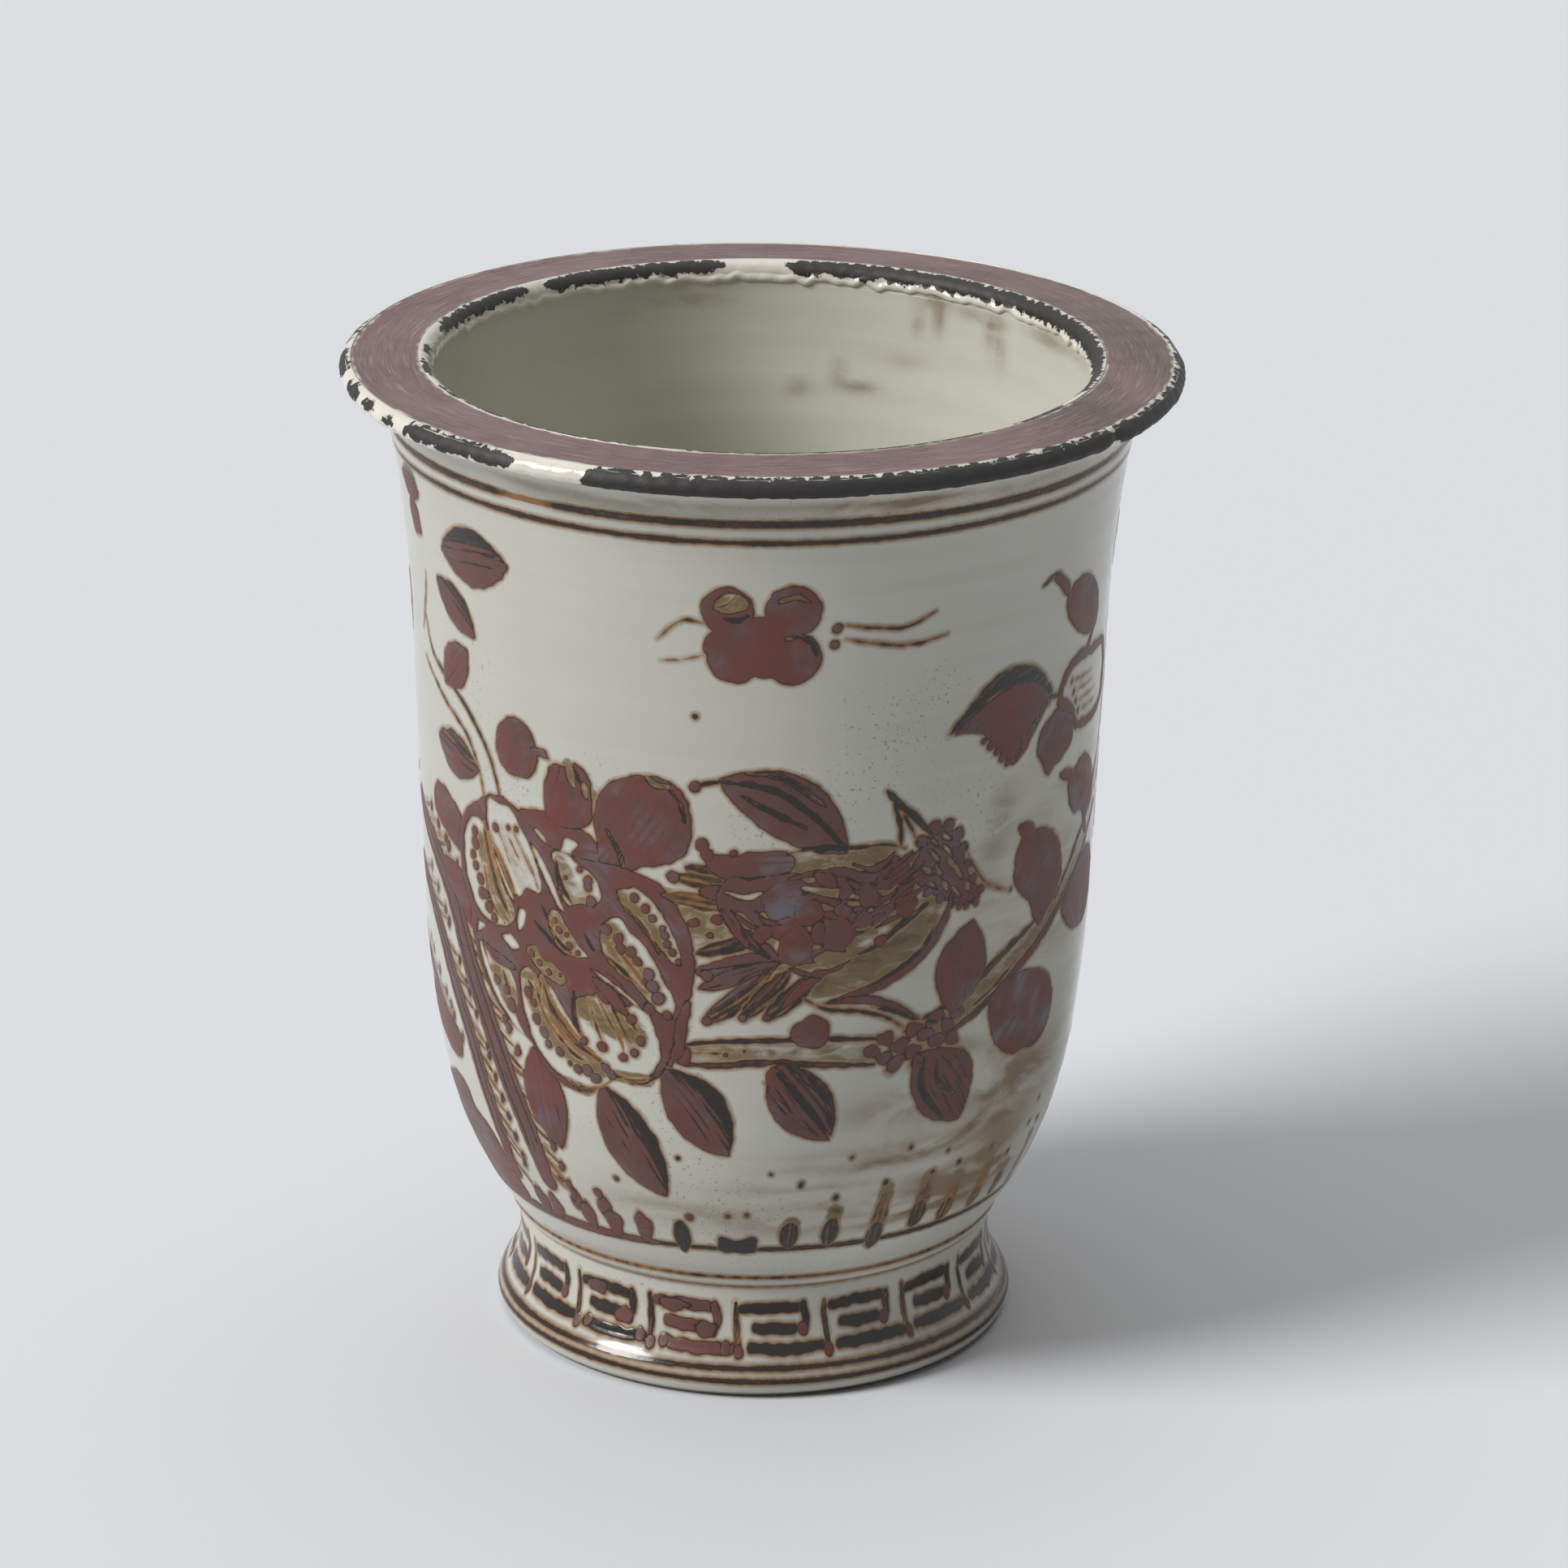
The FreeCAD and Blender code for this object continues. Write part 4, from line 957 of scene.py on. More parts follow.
def draw_plumes(canvas):
    """Plumes that fall from the left, two long and one short, and the rock and tufts beside them.

    Each is a rust rib with a comb of fine strokes and dots."""
    ribs = [
        ([(-206, 236), (-188, 227), (-173, 219), (-160, 208), (-150, 192), (-142, 175), (-133, 158),
         (-125, 140), (-117, 122), (-112, 105), (-109, 91)], 14.5, 22, 0.95),
        ([(-210, 207), (-192, 199), (-176, 187), (-165, 171), (-155, 155), (-148, 139), (-142, 121),
         (-138, 105), (-136, 88)], 11.5, 17, 0.5),
        ([(-222, 172), (-204, 163), (-188, 152), (-174, 138)], 11, 8, 0.5),
    ]
    for points, width, teeth, dot in ribs:
        path = smooth_path(points)
        places = np.linspace(2, len(path) - 3, teeth).astype(int)
        for number, k in enumerate(places):
            at, ahead = path[k], path[k + 2]
            way = (ahead - at) / max(math.hypot(*(ahead - at)), 1e-6)
            side = np.array([way[1], -way[0]])
            root = at - side * width * 0.3
            tip = at - side * (width * 0.5 + 6.5) + way * (11 + number % 3 * 2)
            canvas.stain([tuple(root), tuple(root * 0.4 + tip * 0.6)], 3.2, 0.55)
            middle = (root + tip) / 2 + side * 0.6
            canvas.line([tuple(root), tuple(middle), tuple(tip)], 2.9, 0.36, 0.35, 0.55)
            canvas.blob(tuple(tip + way * 0.8), 2.1, 3.1, -20, dot, 0.1)
        canvas.line(points, width, 1.0, 0.16, 0.4)
        for shift in (-0.18, 0.22):
            beside = path[4:-4:4] + np.array([width * shift, width * shift * 0.5])
            canvas.line([tuple(q) for q in beside], 1.1, 0.5, 0.4, 0.4)
    canvas.patch([
        (-168, 222), (-158, 224), (-147, 221), (-141, 211), (-137, 202), (-144, 200), (-152, 207),
        (-162, 212),
    ])
    canvas.line([(-146, 234), (-146, 224), (-140, 212)], 5.5)
    canvas.patch([
        (-205, 156), (-186, 152), (-168, 147), (-162, 139), (-166, 131), (-178, 130), (-194, 135),
        (-206, 142),
    ])
    canvas.patch([
        (-237, 82), (-229, 95), (-216, 101), (-204, 112), (-190, 118), (-176, 121), (-166, 118),
        (-161, 110), (-150, 105), (-142, 95), (-137, 84), (-136, 72), (-160, 69), (-190, 69), (-222, 70),
        (-239, 73),
    ], 1.05, 0.3)


def draw_grass(canvas):
    """Grass on the belly's ring: rust clumps at the left, then pointed strokes, most with a seed dot."""
    humps = [
        (-121, 77, 5, 7.5), (-111, 77, 4.5, 7), (-93, 85, 4, 6), (-88, 79, 4.5, 7), (-76, 85, 4, 7),
        (-73, 78, 5, 7), (-56, 79, 4.5, 8),
    ]
    for u, z, ru, rz in humps:
        canvas.blob((u, z), ru, rz, 0, 1.0, 0.3)
    canvas.dots([(-99, 95, 2.2), (-66, 103, 1.5), (-78, 93, 2.6), (-31, 88, 2.2)])
    canvas.leaf((-36, 86), (-36, 68), 4.5, 0, 0.5, 0.45, power=0.4)
    canvas.patch([(-17, 79), (-9, 77), (1, 79), (2, 70), (-8, 69), (-18, 70)], 0.55, 0.4)
    canvas.dots([(-12, 90, 1.5), (-3, 91, 1.5)], 0.9)
    strokes = [
        (18, 86, 72, 10.5), (39, 92, 72, 9.5), (64, 101, 67, 10), (87, 102, 74, 10.5), (106, 97, 73, 10.5),
        (128, 98, 74, 10), (147, 90, 74, 9.5), (168, 97, 72, 10), (190, 92, 73, 9), (214, 99, 72, 10),
        (236, 91, 72, 9), (258, 97, 72, 9), (282, 93, 72, 10), (306, 99, 72, 9), (330, 92, 72, 10),
        (352, 98, 73, 9), (376, 92, 72, 10), (400, 97, 72, 9), (424, 92, 72, 10), (448, 97, 73, 9),
        (-432, 92, 72, 9), (-408, 98, 72, 10), (-384, 92, 73, 9), (-360, 97, 72, 9), (-336, 92, 72, 10),
        (-312, 98, 72, 9), (-288, 91, 72, 10), (-264, 96, 73, 9), (-240, 92, 72, 9), (-216, 97, 72, 10),
    ]
    for number, (u, top, low, width) in enumerate(strokes):
        pale = 0.72 if u > 100 and number % 2 else 0.82 if u > 100 else 1.0
        lean = 1.0 if u > 0 else -1.0
        canvas.stain([(u + lean, top - 1), (u, low + 4)], width * 0.44, 1.15 * pale)
        canvas.leaf((u + lean * 0.6, top - 3), (u, low), width * 0.44, 0, 0.34 * pale, 0.6, power=0.4)
        canvas.leaf((u + lean * 0.3, low + 15 * pale), (u, low), width * 0.50, 0, 0.44 * pale, 0.5, power=0.4)
    canvas.dots([
        (22, 107, 1.7), (39.5, 98.6, 1.8), (63.5, 102.6, 1.5), (89, 103, 1.9), (104.5, 104, 1.7),
        (127, 105, 1.1), (144.5, 97, 1.6), (164, 116, 1.4), (160, 106, 1.5),
    ], 0.5)
    seeds = [(u + 3, top + 7 + number % 3 * 2, 1.5) for number, (u, top, _, _) in enumerate(strokes[7:])]
    canvas.dots(seeds, 0.6)
    canvas.dots([
        (22, 106, 1.4), (45, 118, 1.2), (8, 112, 1.0), (74, 118, 1.2), (96, 112, 1.1), (-34, 118, 1.1),
    ], 0.7)


HOOK = [
    ([(-1, 40), (0, 31), (1, 21)], 4.6, 0.74, 0.1, 0.75),
    ([(3, 37.8), (20, 38.4), (40, 37.8)], 6.0, 1.0, 0.08, 0.2),
    ([(40, 39), (41, 34), (41, 30)], 5.6, 1.0, 0.1, 0.5),
    ([(11, 29.4), (22, 29), (35, 28.8)], 6.0, 1.0, 0.08, 0.2),
    ([(8, 21), (28, 20.6), (52, 21)], 5.6, 1.0, 0.08, 0.25),
]


def draw_fret(canvas):
    """Seventeen key-fret hooks round the foot: an upright, a top bar with a drop, a tongue and a floor bar.

    Those at the left of the front and at the back are rust."""
    hooks, middle = 17, -9
    pitch = TURN / hooks
    rng = np.random.default_rng(9)

    def near(u, z):
        """A place in the hook at u0, off by up to 0.7 mm across and 0.4 mm up or down."""
        return u0 + u + rng.uniform(-0.7, 0.7), z + rng.uniform(-0.4, 0.4)

    for k in range(hooks):
        u0 = middle + pitch * (k - hooks // 2)
        place = (u0 - middle) / pitch
        rusty = -3.0 < place - 0.2 < -0.2 or abs(place) > 4.6
        load = 0.92 if rusty and k % 2 else 0.6 if rusty else 0.55
        for path, width, share, thin, streak in HOOK:
            canvas.line([near(*point) for point in path], width, load * share, thin, streak)
        canvas.dots([(*near(1.5, 19.5), 3.0), (*near(39, 28), 3.4)], 1.0 if rusty else 0.8)
        if rusty:
            canvas.blob(near(35, 28), 6.5, 3.6, 0, 1.0, 0.2)
            canvas.blob(near(14, 37), 9, 3.2, 0, 1.0, 0.3)
            canvas.dots([(*near(48, 21), 3.0), (*near(10, 21), 3.0)])


def painted_canvas():
    """The whole painting: the front, and its flowers, bird and butterfly again round the back.

    The pieces are made in the order of `motifs`, and the marks are laid in that of the table below it."""
    motifs = [
        "bands", "fret", "plumes", "branches", "leaves", "peony", "blossoms", "bird", "butterfly", "grass",
    ]
    canvas = Canvas(3.4, 404.0, motifs)
    for motif, draw, places in [
        ("bands", draw_bands, [()]), ("grass", draw_grass, [()]), ("fret", draw_fret, [()]),
        ("plumes", draw_plumes, [()]), ("branches", draw_branches, [()]), ("leaves", draw_leaves, [()]),
        ("blossoms", draw_blossoms, [(), (310, -1)]), ("peony", draw_peony, [(), (310, -1)]),
        ("bird", draw_bird, [(), (-252, -1)]), ("butterfly", draw_butterfly, [(), (330, -1), (-300, 1, 4)]),
    ]:
        for place in places:
            canvas.begin(motif, *place)
            draw(canvas)
    return canvas


# Shader helpers

SURFACE = {"Color": "Color", "Roughness": "Float", "Height": "Float"}


def feed(tree, socket, value):
    """Links an input to another node's output, or sets it to a value."""
    if isinstance(value, bpy.types.NodeSocket):
        tree.links.new(value, socket)
    else:
        socket.default_value = value


def put(tree, kind, inputs=None, **settings):
    """A new node with its settings, and its inputs linked or set."""
    node = tree.nodes.new(kind)
    for name, value in settings.items():
        setattr(node, name, value)
    for name, value in (inputs or {}).items():
        feed(tree, node.inputs[name], value)
    return node


def sum_of(tree, operation, a, b=0.0, clamp=False):
    """The output of a Math node."""
    return put(tree, "ShaderNodeMath", {0: a, 1: b}, operation=operation, use_clamp=clamp).outputs[0]


def times(tree, a, b, clamp=False):
    """The product of two values."""
    return sum_of(tree, "MULTIPLY", a, b, clamp)


def plus(tree, a, b):
    """Two values added up."""
    return sum_of(tree, "ADD", a, b)


def centred(tree, noise, reach):
    """A noise about 0 in place of 0.5, times its reach."""
    return times(tree, sum_of(tree, "SUBTRACT", noise, 0.5), reach)


def blend(tree, share, a, b, how="MIX"):
    """Colour a turned into colour b by a share."""
    node = put(tree, "ShaderNodeMix", data_type="RGBA", blend_type=how, clamp_factor=True)
    sockets = {socket.identifier: socket for socket in node.inputs}
    for slot, value in (("Factor_Float", share), ("A_Color", a), ("B_Color", b)):
        feed(tree, sockets[slot], value)
    return next(socket for socket in node.outputs if socket.identifier == "Result_Color")


def step_up(tree, value, low, high, bottom=0.0, top=1.0):
    """A smooth rise from bottom to top while value goes from low to high."""
    ends = {"Value": value, "From Min": low, "From Max": high, "To Min": bottom, "To Max": top}
    return put(tree, "ShaderNodeMapRange", ends, interpolation_type="SMOOTHSTEP").outputs["Result"]


def noise_at(tree, place, scale, detail, distortion):
    """Noise about 0.5 at a place."""
    held = {"Vector": place, "Scale": scale, "Detail": detail, "Distortion": distortion}
    return put(tree, "ShaderNodeTexNoise", held).outputs["Fac"]


def grain(tree, scale, squeeze=(1, 1, 1), detail=2.0, distortion=0.0, offset=(0, 0, 0)):
    """Noise on Object coordinates, `scale` features to the metre and shorter along an axis by `squeeze`."""
    place = put(tree, "ShaderNodeTexCoord").outputs["Object"]
    turned = put(tree, "ShaderNodeMapping", {"Vector": place, "Scale": squeeze, "Location": offset})
    return noise_at(tree, turned.outputs[0], scale, detail, distortion)


def new_group(name, inputs):
    """A shader group that puts out a surface: the tree, the values put in, and its output node."""
    tree = bpy.data.node_groups.new(name, "ShaderNodeTree")
    for way, sockets in (("INPUT", inputs), ("OUTPUT", SURFACE)):
        for label, kind in sockets.items():
            tree.interface.new_socket(name=label, in_out=way, socket_type="NodeSocket" + kind)
    return tree, tree.nodes.new("NodeGroupInput").outputs, tree.nodes.new("NodeGroupOutput")


def placed_group(tree, name, **inputs):
    """The outputs of a group set into a material, with its inputs by name, where _ stands for a space."""
    held = {label.replace("_", " "): value for label, value in inputs.items()}
    return put(tree, "ShaderNodeGroup", held, node_tree=bpy.data.node_groups[name]).outputs


def leave(tree, out, *surface):
    """Links colour, roughness and height to a group's output."""
    for label, value in zip(SURFACE, surface):
        tree.links.new(value, out.inputs[label])


def layer(tree, name):
    """A value kept on the mesh's points."""
    return put(tree, "ShaderNodeAttribute", attribute_name=name, attribute_type="GEOMETRY").outputs["Fac"]


def new_material(name):
    """A material with its shader, ready for links: the material, its tree and its Principled BSDF."""
    made = bpy.data.materials.new(name)
    made.use_nodes = True
    return made, made.node_tree, made.node_tree.nodes["Principled BSDF"]


def finish_surface(tree, shader, colour, roughness, height, strength=0.6):
    """Links colour, roughness and a height in mm, as a bump, to the shader."""
    bump = put(tree, "ShaderNodeBump", {"Height": height, "Strength": strength, "Distance": MM})
    for label, value in (("Base Color", colour), ("Roughness", roughness), ("Normal", bump.outputs[0])):
        tree.links.new(value, shader.inputs[label])


# Shader groups: scene-linear tints that no setting changes, and the slip's steps by the thickness of its film

TINTS = {
    "speck": (0.12, 0.11, 0.09, 1),
    "pepper": (0.07, 0.045, 0.025, 1),
    "wash": (0.185, 0.122, 0.048, 1),
    "crystal": (0.092, 0.048, 0.040, 1),
    "flow": (0.060, 0.036, 0.031, 1),
    # Painted sheen: a blue-grey tint for spots on the thickest slip
    "painted_sheen": (0.135, 0.125, 0.145, 1),
    "dry_paint": (0.012, 0.010, 0.008, 1),
    "aged_white": (0.52, 0.47, 0.38, 1),
    "grime": (0.20, 0.16, 0.11, 1),
    "rim_cloud": (0.255, 0.160, 0.162, 1),
    "rim_worn": (0.135, 0.094, 0.078, 1),
    "rim_streak": (0.115, 0.075, 0.068, 1),
    "clay_cloud": (0.10, 0.07, 0.05, 1),
    "iron_speck": (0.03, 0.018, 0.012, 1),
}
BARE_TO_AMBER = (0.02, 0.17)
AMBER_TO_BLACK = (0.17, 0.43)
BLACK_TO_RUST = (0.60, 0.72)


def make_glaze_group():
    """Pale glaze: two tints in clouds, faint throwing streaks, sparse grey specks and a peppered stain."""
    tree, given, out = new_group("pale_glaze", {
        "Tint": "Color", "Pooled": "Color", "Stain Colour": "Color", "Stain": "Float", "Specks": "Float",
    })
    clouds = step_up(tree, grain(tree, 7, detail=3, distortion=0.6), 0.30, 0.74)
    colour = blend(tree, clouds, given["Tint"], given["Pooled"])
    streaks = step_up(tree, grain(tree, 5, (1, 1, 26), 4), 0.40, 0.80, 0.0, 0.045)
    colour = blend(tree, streaks, colour, given["Stain Colour"])
    patches = step_up(tree, grain(tree, 13, detail=2, offset=(3, 1, 0)), 0.56, 0.70)
    dots = step_up(tree, grain(tree, 620, detail=1.5), 0.63, 0.70)
    specks = times(tree, times(tree, dots, patches), given["Specks"])
    colour = blend(tree, times(tree, specks, 0.55), colour, TINTS["speck"])
    # The stain value darkens toward the stain colour; on the wall it also holds painted shade under the rim
    smear = step_up(tree, grain(tree, 19, (1, 1, 2.8), 6, 1.0), 0.34, 0.66, 0.25, 1.25)
    stain = times(tree, given["Stain"], smear, clamp=True)
    colour = blend(tree, stain, colour, given["Stain Colour"])
    pepper = step_up(tree, grain(tree, 420, detail=1), 0.64, 0.72)
    peppered = times(tree, pepper, times(tree, stain, 0.3), clamp=True)
    colour = blend(tree, peppered, colour, TINTS["pepper"])
    sheen = step_up(tree, grain(tree, 30, detail=3), 0.3, 0.7, 0.10, 0.19)
    roughness = plus(tree, times(tree, stain, 0.22), sheen)
    peel = times(tree, grain(tree, 110, detail=2), 0.10)
    turning = times(tree, grain(tree, 9, (1, 1, 34), 3), 0.10)
    leave(tree, out, colour, roughness, plus(tree, peel, turning))


def make_slip_group():
    """Iron slip by its thickness: nothing, amber, black, then rust, as the brush left it on the glaze.

    Thickness is the load times a smooth rise from 0.75 mm outside the mark to 1.15 mm inside it, less along
    outlines."""
    tree, given, out = new_group("iron_slip", {
        "Ground": "Color", "Ground Roughness": "Float", "Ground Height": "Float",
        "Cover": "Float", "Seam": "Float", "Load": "Float", "Wash": "Float",
        "Amber": "Color", "Black": "Color", "Rust": "Color",
    })
    fray = centred(tree, grain(tree, 300, detail=3), 0.7)
    cover = plus(tree, given["Cover"], fray)
    rise = step_up(tree, cover, -0.75, 1.15)
    groove = step_up(tree, plus(tree, given["Seam"], fray), 0.05, 0.80, 0.42, 0.0)
    mottle = centred(tree, grain(tree, 260, detail=4), 0.26)
    brushed = times(tree, plus(tree, given["Load"], mottle), rise)
    pool = step_up(tree, grain(tree, 90, (1, 1, 2.2), 4, 0.7), 0.32, 0.68, 0.13, 0.29)
    wash = times(tree, given["Wash"], pool)
    thickest = sum_of(tree, "MAXIMUM", brushed, wash)
    film = times(tree, thickest, sum_of(tree, "SUBTRACT", 1.0, groove), clamp=True)
    washed = step_up(tree, sum_of(tree, "SUBTRACT", wash, brushed), 0.0, 0.06)
    amber = blend(tree, washed, given["Amber"], TINTS["wash"])
    thin = blend(tree, step_up(tree, film, *AMBER_TO_BLACK), amber, given["Black"])
    crystals = step_up(tree, grain(tree, 46, detail=5, distortion=0.5), 0.34, 0.72)
    worn = blend(tree, times(tree, crystals, 0.75), given["Rust"], TINTS["crystal"])
    flows = step_up(tree, grain(tree, 75, (1, 1, 0.6), 5, 1.4), 0.55, 0.78)
    worn = blend(tree, times(tree, flows, 0.75), worn, TINTS["flow"])
    # Painted sheen: blue-grey spots painted on the thickest slip
    spots = step_up(tree, grain(tree, 60, detail=5, offset=(5, 2, 1)), 0.45, 0.70)
    painted_sheen = times(tree, spots, step_up(tree, given["Load"], 0.85, 1.2, 0.15, 0.95))
    worn = blend(tree, painted_sheen, worn, TINTS["painted_sheen"])
    thick = blend(tree, step_up(tree, film, *BLACK_TO_RUST), thin, worn)
    halo = times(tree, step_up(tree, cover, -1.9, -0.1, 0.0, 0.5), step_up(tree, given["Load"], 0.1, 0.5))
    ground = blend(tree, halo, given["Ground"], given["Amber"], "MULTIPLY")
    ground = blend(tree, times(tree, halo, 0.35), ground, given["Amber"])
    colour = blend(tree, step_up(tree, film, *BARE_TO_AMBER), ground, thick)
    satin = step_up(tree, film, 0.48, 0.70, 0.0, 0.30)
    crust = times(tree, grain(tree, 330, detail=3), step_up(tree, film, 0.3, 0.8, 0.0, 0.16))
    height = plus(tree, plus(tree, given["Ground Height"], crust), times(tree, film, 0.12))
    leave(tree, out, colour, plus(tree, given["Ground Roughness"], satin), height)


def make_flake_group():
    """Dark paint left on the thick white rolls: whole where the patch value is above 0, with ragged edges."""
    tree, given, out = new_group("flaked_paint", {"White": "Color", "Dark": "Color", "Patch": "Float"})
    ragged = centred(tree, grain(tree, 210, detail=5, distortion=0.8), 4.0)
    chips = centred(tree, grain(tree, 430, detail=3, offset=(2, 0, 1)), 4.5)
    value = plus(tree, given["Patch"], plus(tree, ragged, chips))
    dark = step_up(tree, value, -0.06, 0.14)
    dust = step_up(tree, grain(tree, 60, (1, 1, 2), 5), 0.3, 0.75)
    paint = blend(tree, dust, given["Dark"], TINTS["dry_paint"])
    aged = step_up(tree, grain(tree, 40, detail=4, offset=(1, 2, 0)), 0.5, 0.8, 0.0, 0.35)
    white = blend(tree, aged, given["White"], TINTS["aged_white"])
    grime = step_up(tree, sum_of(tree, "ABSOLUTE", value), 0.7, 0.1, 0.0, 0.45)
    white = blend(tree, grime, white, TINTS["grime"])
    roughness = step_up(tree, dark, 0, 1, 0.14, 0.58)
    height = plus(tree, times(tree, grain(tree, 150, detail=3), 0.5), times(tree, dark, 0.16))
    rough_paint = times(tree, times(tree, grain(tree, 700, detail=3), dark), 0.12)
    leave(tree, out, blend(tree, dark, white, paint), roughness, plus(tree, height, rough_paint))


def rim_noise(tree, given, squeeze, depth, scale, detail, distortion):
    """Noise drawn out along the rim: its places are (around times squeeze, across, depth) in mm."""
    around = times(tree, given["Around"], squeeze)
    place = put(tree, "ShaderNodeCombineXYZ", {"X": around, "Y": given["Across"], "Z": depth})
    return noise_at(tree, place.outputs[0], scale, detail, distortion)


def make_rim_group():
    """Brushed rim slip: streaks that follow the rim, browner and scratched where the value Wear is high."""
    tree, given, out = new_group("brushed_rim", {
        "Slip": "Color", "Dark": "Color", "White": "Color",
        "Around": "Float", "Across": "Float", "Wear": "Float",
    })
    streaks = rim_noise(tree, given, 0.045, 0.0, 1.1, 5.0, 0.5)
    clouds = grain(tree, 20, detail=7, distortion=1.1)
    colour = blend(tree, step_up(tree, clouds, 0.36, 0.66, 0.0, 0.8), given["Slip"], TINTS["rim_cloud"])
    brown = times(tree, given["Wear"], step_up(tree, clouds, 0.38, 0.62, 0.15, 1.0), clamp=True)
    colour = blend(tree, brown, colour, TINTS["rim_worn"])
    colour = blend(tree, step_up(tree, streaks, 0.52, 0.76, 0.0, 0.6), colour, TINTS["rim_streak"])
    colour = blend(tree, step_up(tree, streaks, 0.44, 0.24, 0.0, 0.22), colour, given["White"])
    lines = rim_noise(tree, given, 0.16, 4.0, 1.6, 6.0, 1.6)
    edge = sum_of(tree, "ABSOLUTE", sum_of(tree, "SUBTRACT", lines, 0.5))
    places = step_up(tree, grain(tree, 34, offset=(4, 0, 0)), 0.42, 0.56)
    scratched = times(tree, step_up(tree, edge, 0.022, 0.006), places)
    share = plus(tree, times(tree, given["Wear"], 0.7), 0.22)
    colour = blend(tree, times(tree, scratched, share, clamp=True), colour, given["Dark"])
    roughness = step_up(tree, streaks, 0.3, 0.7, 0.44, 0.60)
    height = plus(tree, times(tree, streaks, 0.22), times(tree, scratched, -0.12))
    leave(tree, out, colour, roughness, height)


def make_clay_group():
    """Bare fired clay: warm clouds, iron specks, grit and turning marks."""
    tree, given, out = new_group("bare_clay", {"Clay": "Color"})
    clouds = step_up(tree, grain(tree, 14, detail=4), 0.3, 0.7, 0.0, 0.5)
    colour = blend(tree, clouds, given["Clay"], TINTS["clay_cloud"])
    specks = step_up(tree, grain(tree, 800, detail=1), 0.66, 0.72, 0.0, 0.7)
    colour = blend(tree, specks, colour, TINTS["iron_speck"])
    grit = times(tree, grain(tree, 1200, detail=3), 0.2)
    turning = times(tree, grain(tree, 20, (1, 1, 30), 3), 0.25)
    leave(tree, out, colour, step_up(tree, clouds, 0, 0.5, 0.72, 0.9), plus(tree, grit, turning))


# Materials


def glaze_ground(tree, tint, pooled, specks):
    """The pale glaze with the stain kept on the piece: colour, roughness and height."""
    tones = {"Tint": linear(tint), "Pooled": linear(pooled), "Stain_Colour": linear("stain")}
    return placed_group(tree, "pale_glaze", **tones, Stain=layer(tree, "stain"), Specks=specks)


def glaze_material(name, tint, pooled, specks):
    """Glaze alone, for the skins without painting."""
    made, tree, shader = new_material(name)
    finish_surface(tree, shader, *glaze_ground(tree, tint, pooled, specks))
    return made


def painted_material():
    """Glaze with the iron painting on it."""
    made, tree, shader = new_material("painted_glaze")
    colour, roughness, height = glaze_ground(tree, "glaze", "glaze_cool", 1.0)
    ground = {"Ground": colour, "Ground_Roughness": roughness, "Ground_Height": height}
    kept = {name.title(): layer(tree, name) for name in ("cover", "seam", "load", "wash")}
    tones = {name.title(): linear(name) for name in ("amber", "black", "rust")}
    finish_surface(tree, shader, *placed_group(tree, "iron_slip", **ground, **kept, **tones))
    return made


def roll_material():
    """Thick white glaze with the flaked dark paint, and the liner's glaze where it ends above the hem."""
    made, tree, shader = new_material("roll_glaze")
    tones = {"White": linear("roll"), "Dark": linear("flake")}
    flaked = placed_group(tree, "flaked_paint", **tones, Patch=layer(tree, "patch"))
    ground = glaze_ground(tree, "liner", "liner", 0.5)
    colour = blend(tree, layer(tree, "bare"), flaked["Color"], ground["Color"])
    finish_surface(tree, shader, colour, flaked["Roughness"], flaked["Height"], 0.8)
    return made


def rim_material():
    """Dull brushed slip of the flat rim, white where it meets the rolls."""
    made, tree, shader = new_material("rim_slip")
    tones = {"Slip": linear("rim"), "Dark": linear("flake"), "White": linear("roll")}
    kept = {name.title(): layer(tree, name) for name in ("around", "across", "wear")}
    rim = placed_group(tree, "brushed_rim", **tones, **kept)
    edged = blend(tree, layer(tree, "edge"), rim["Color"], linear("roll"))
    finish_surface(tree, shader, edged, rim["Roughness"], rim["Height"], 0.7)
    return made


def clay_material(name, tone):
    """Bare clay or joining slip."""
    made, tree, shader = new_material(name)
    finish_surface(tree, shader, *placed_group(tree, "bare_clay", Clay=linear(tone)), 0.7)
    return made


# Operators


class POT_OT_clay(bpy.types.Operator):
    """Give the thrown clay pieces and the slip between them their bare-clay finish"""

    bl_idname = "pot.clay"
    bl_label = "Clay and Joining Slip"

    def execute(self, context):
        make_clay_group()
        clay, seam = clay_material("fired_clay", "clay"), clay_material("joining_slip", "seam")
        for name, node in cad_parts.items():
            joint = name.endswith("_slip") or name == "foot_seam_coil"
            node.data.materials.clear()
            node.data.materials.append(seam if joint else clay)
        return {"FINISHED"}


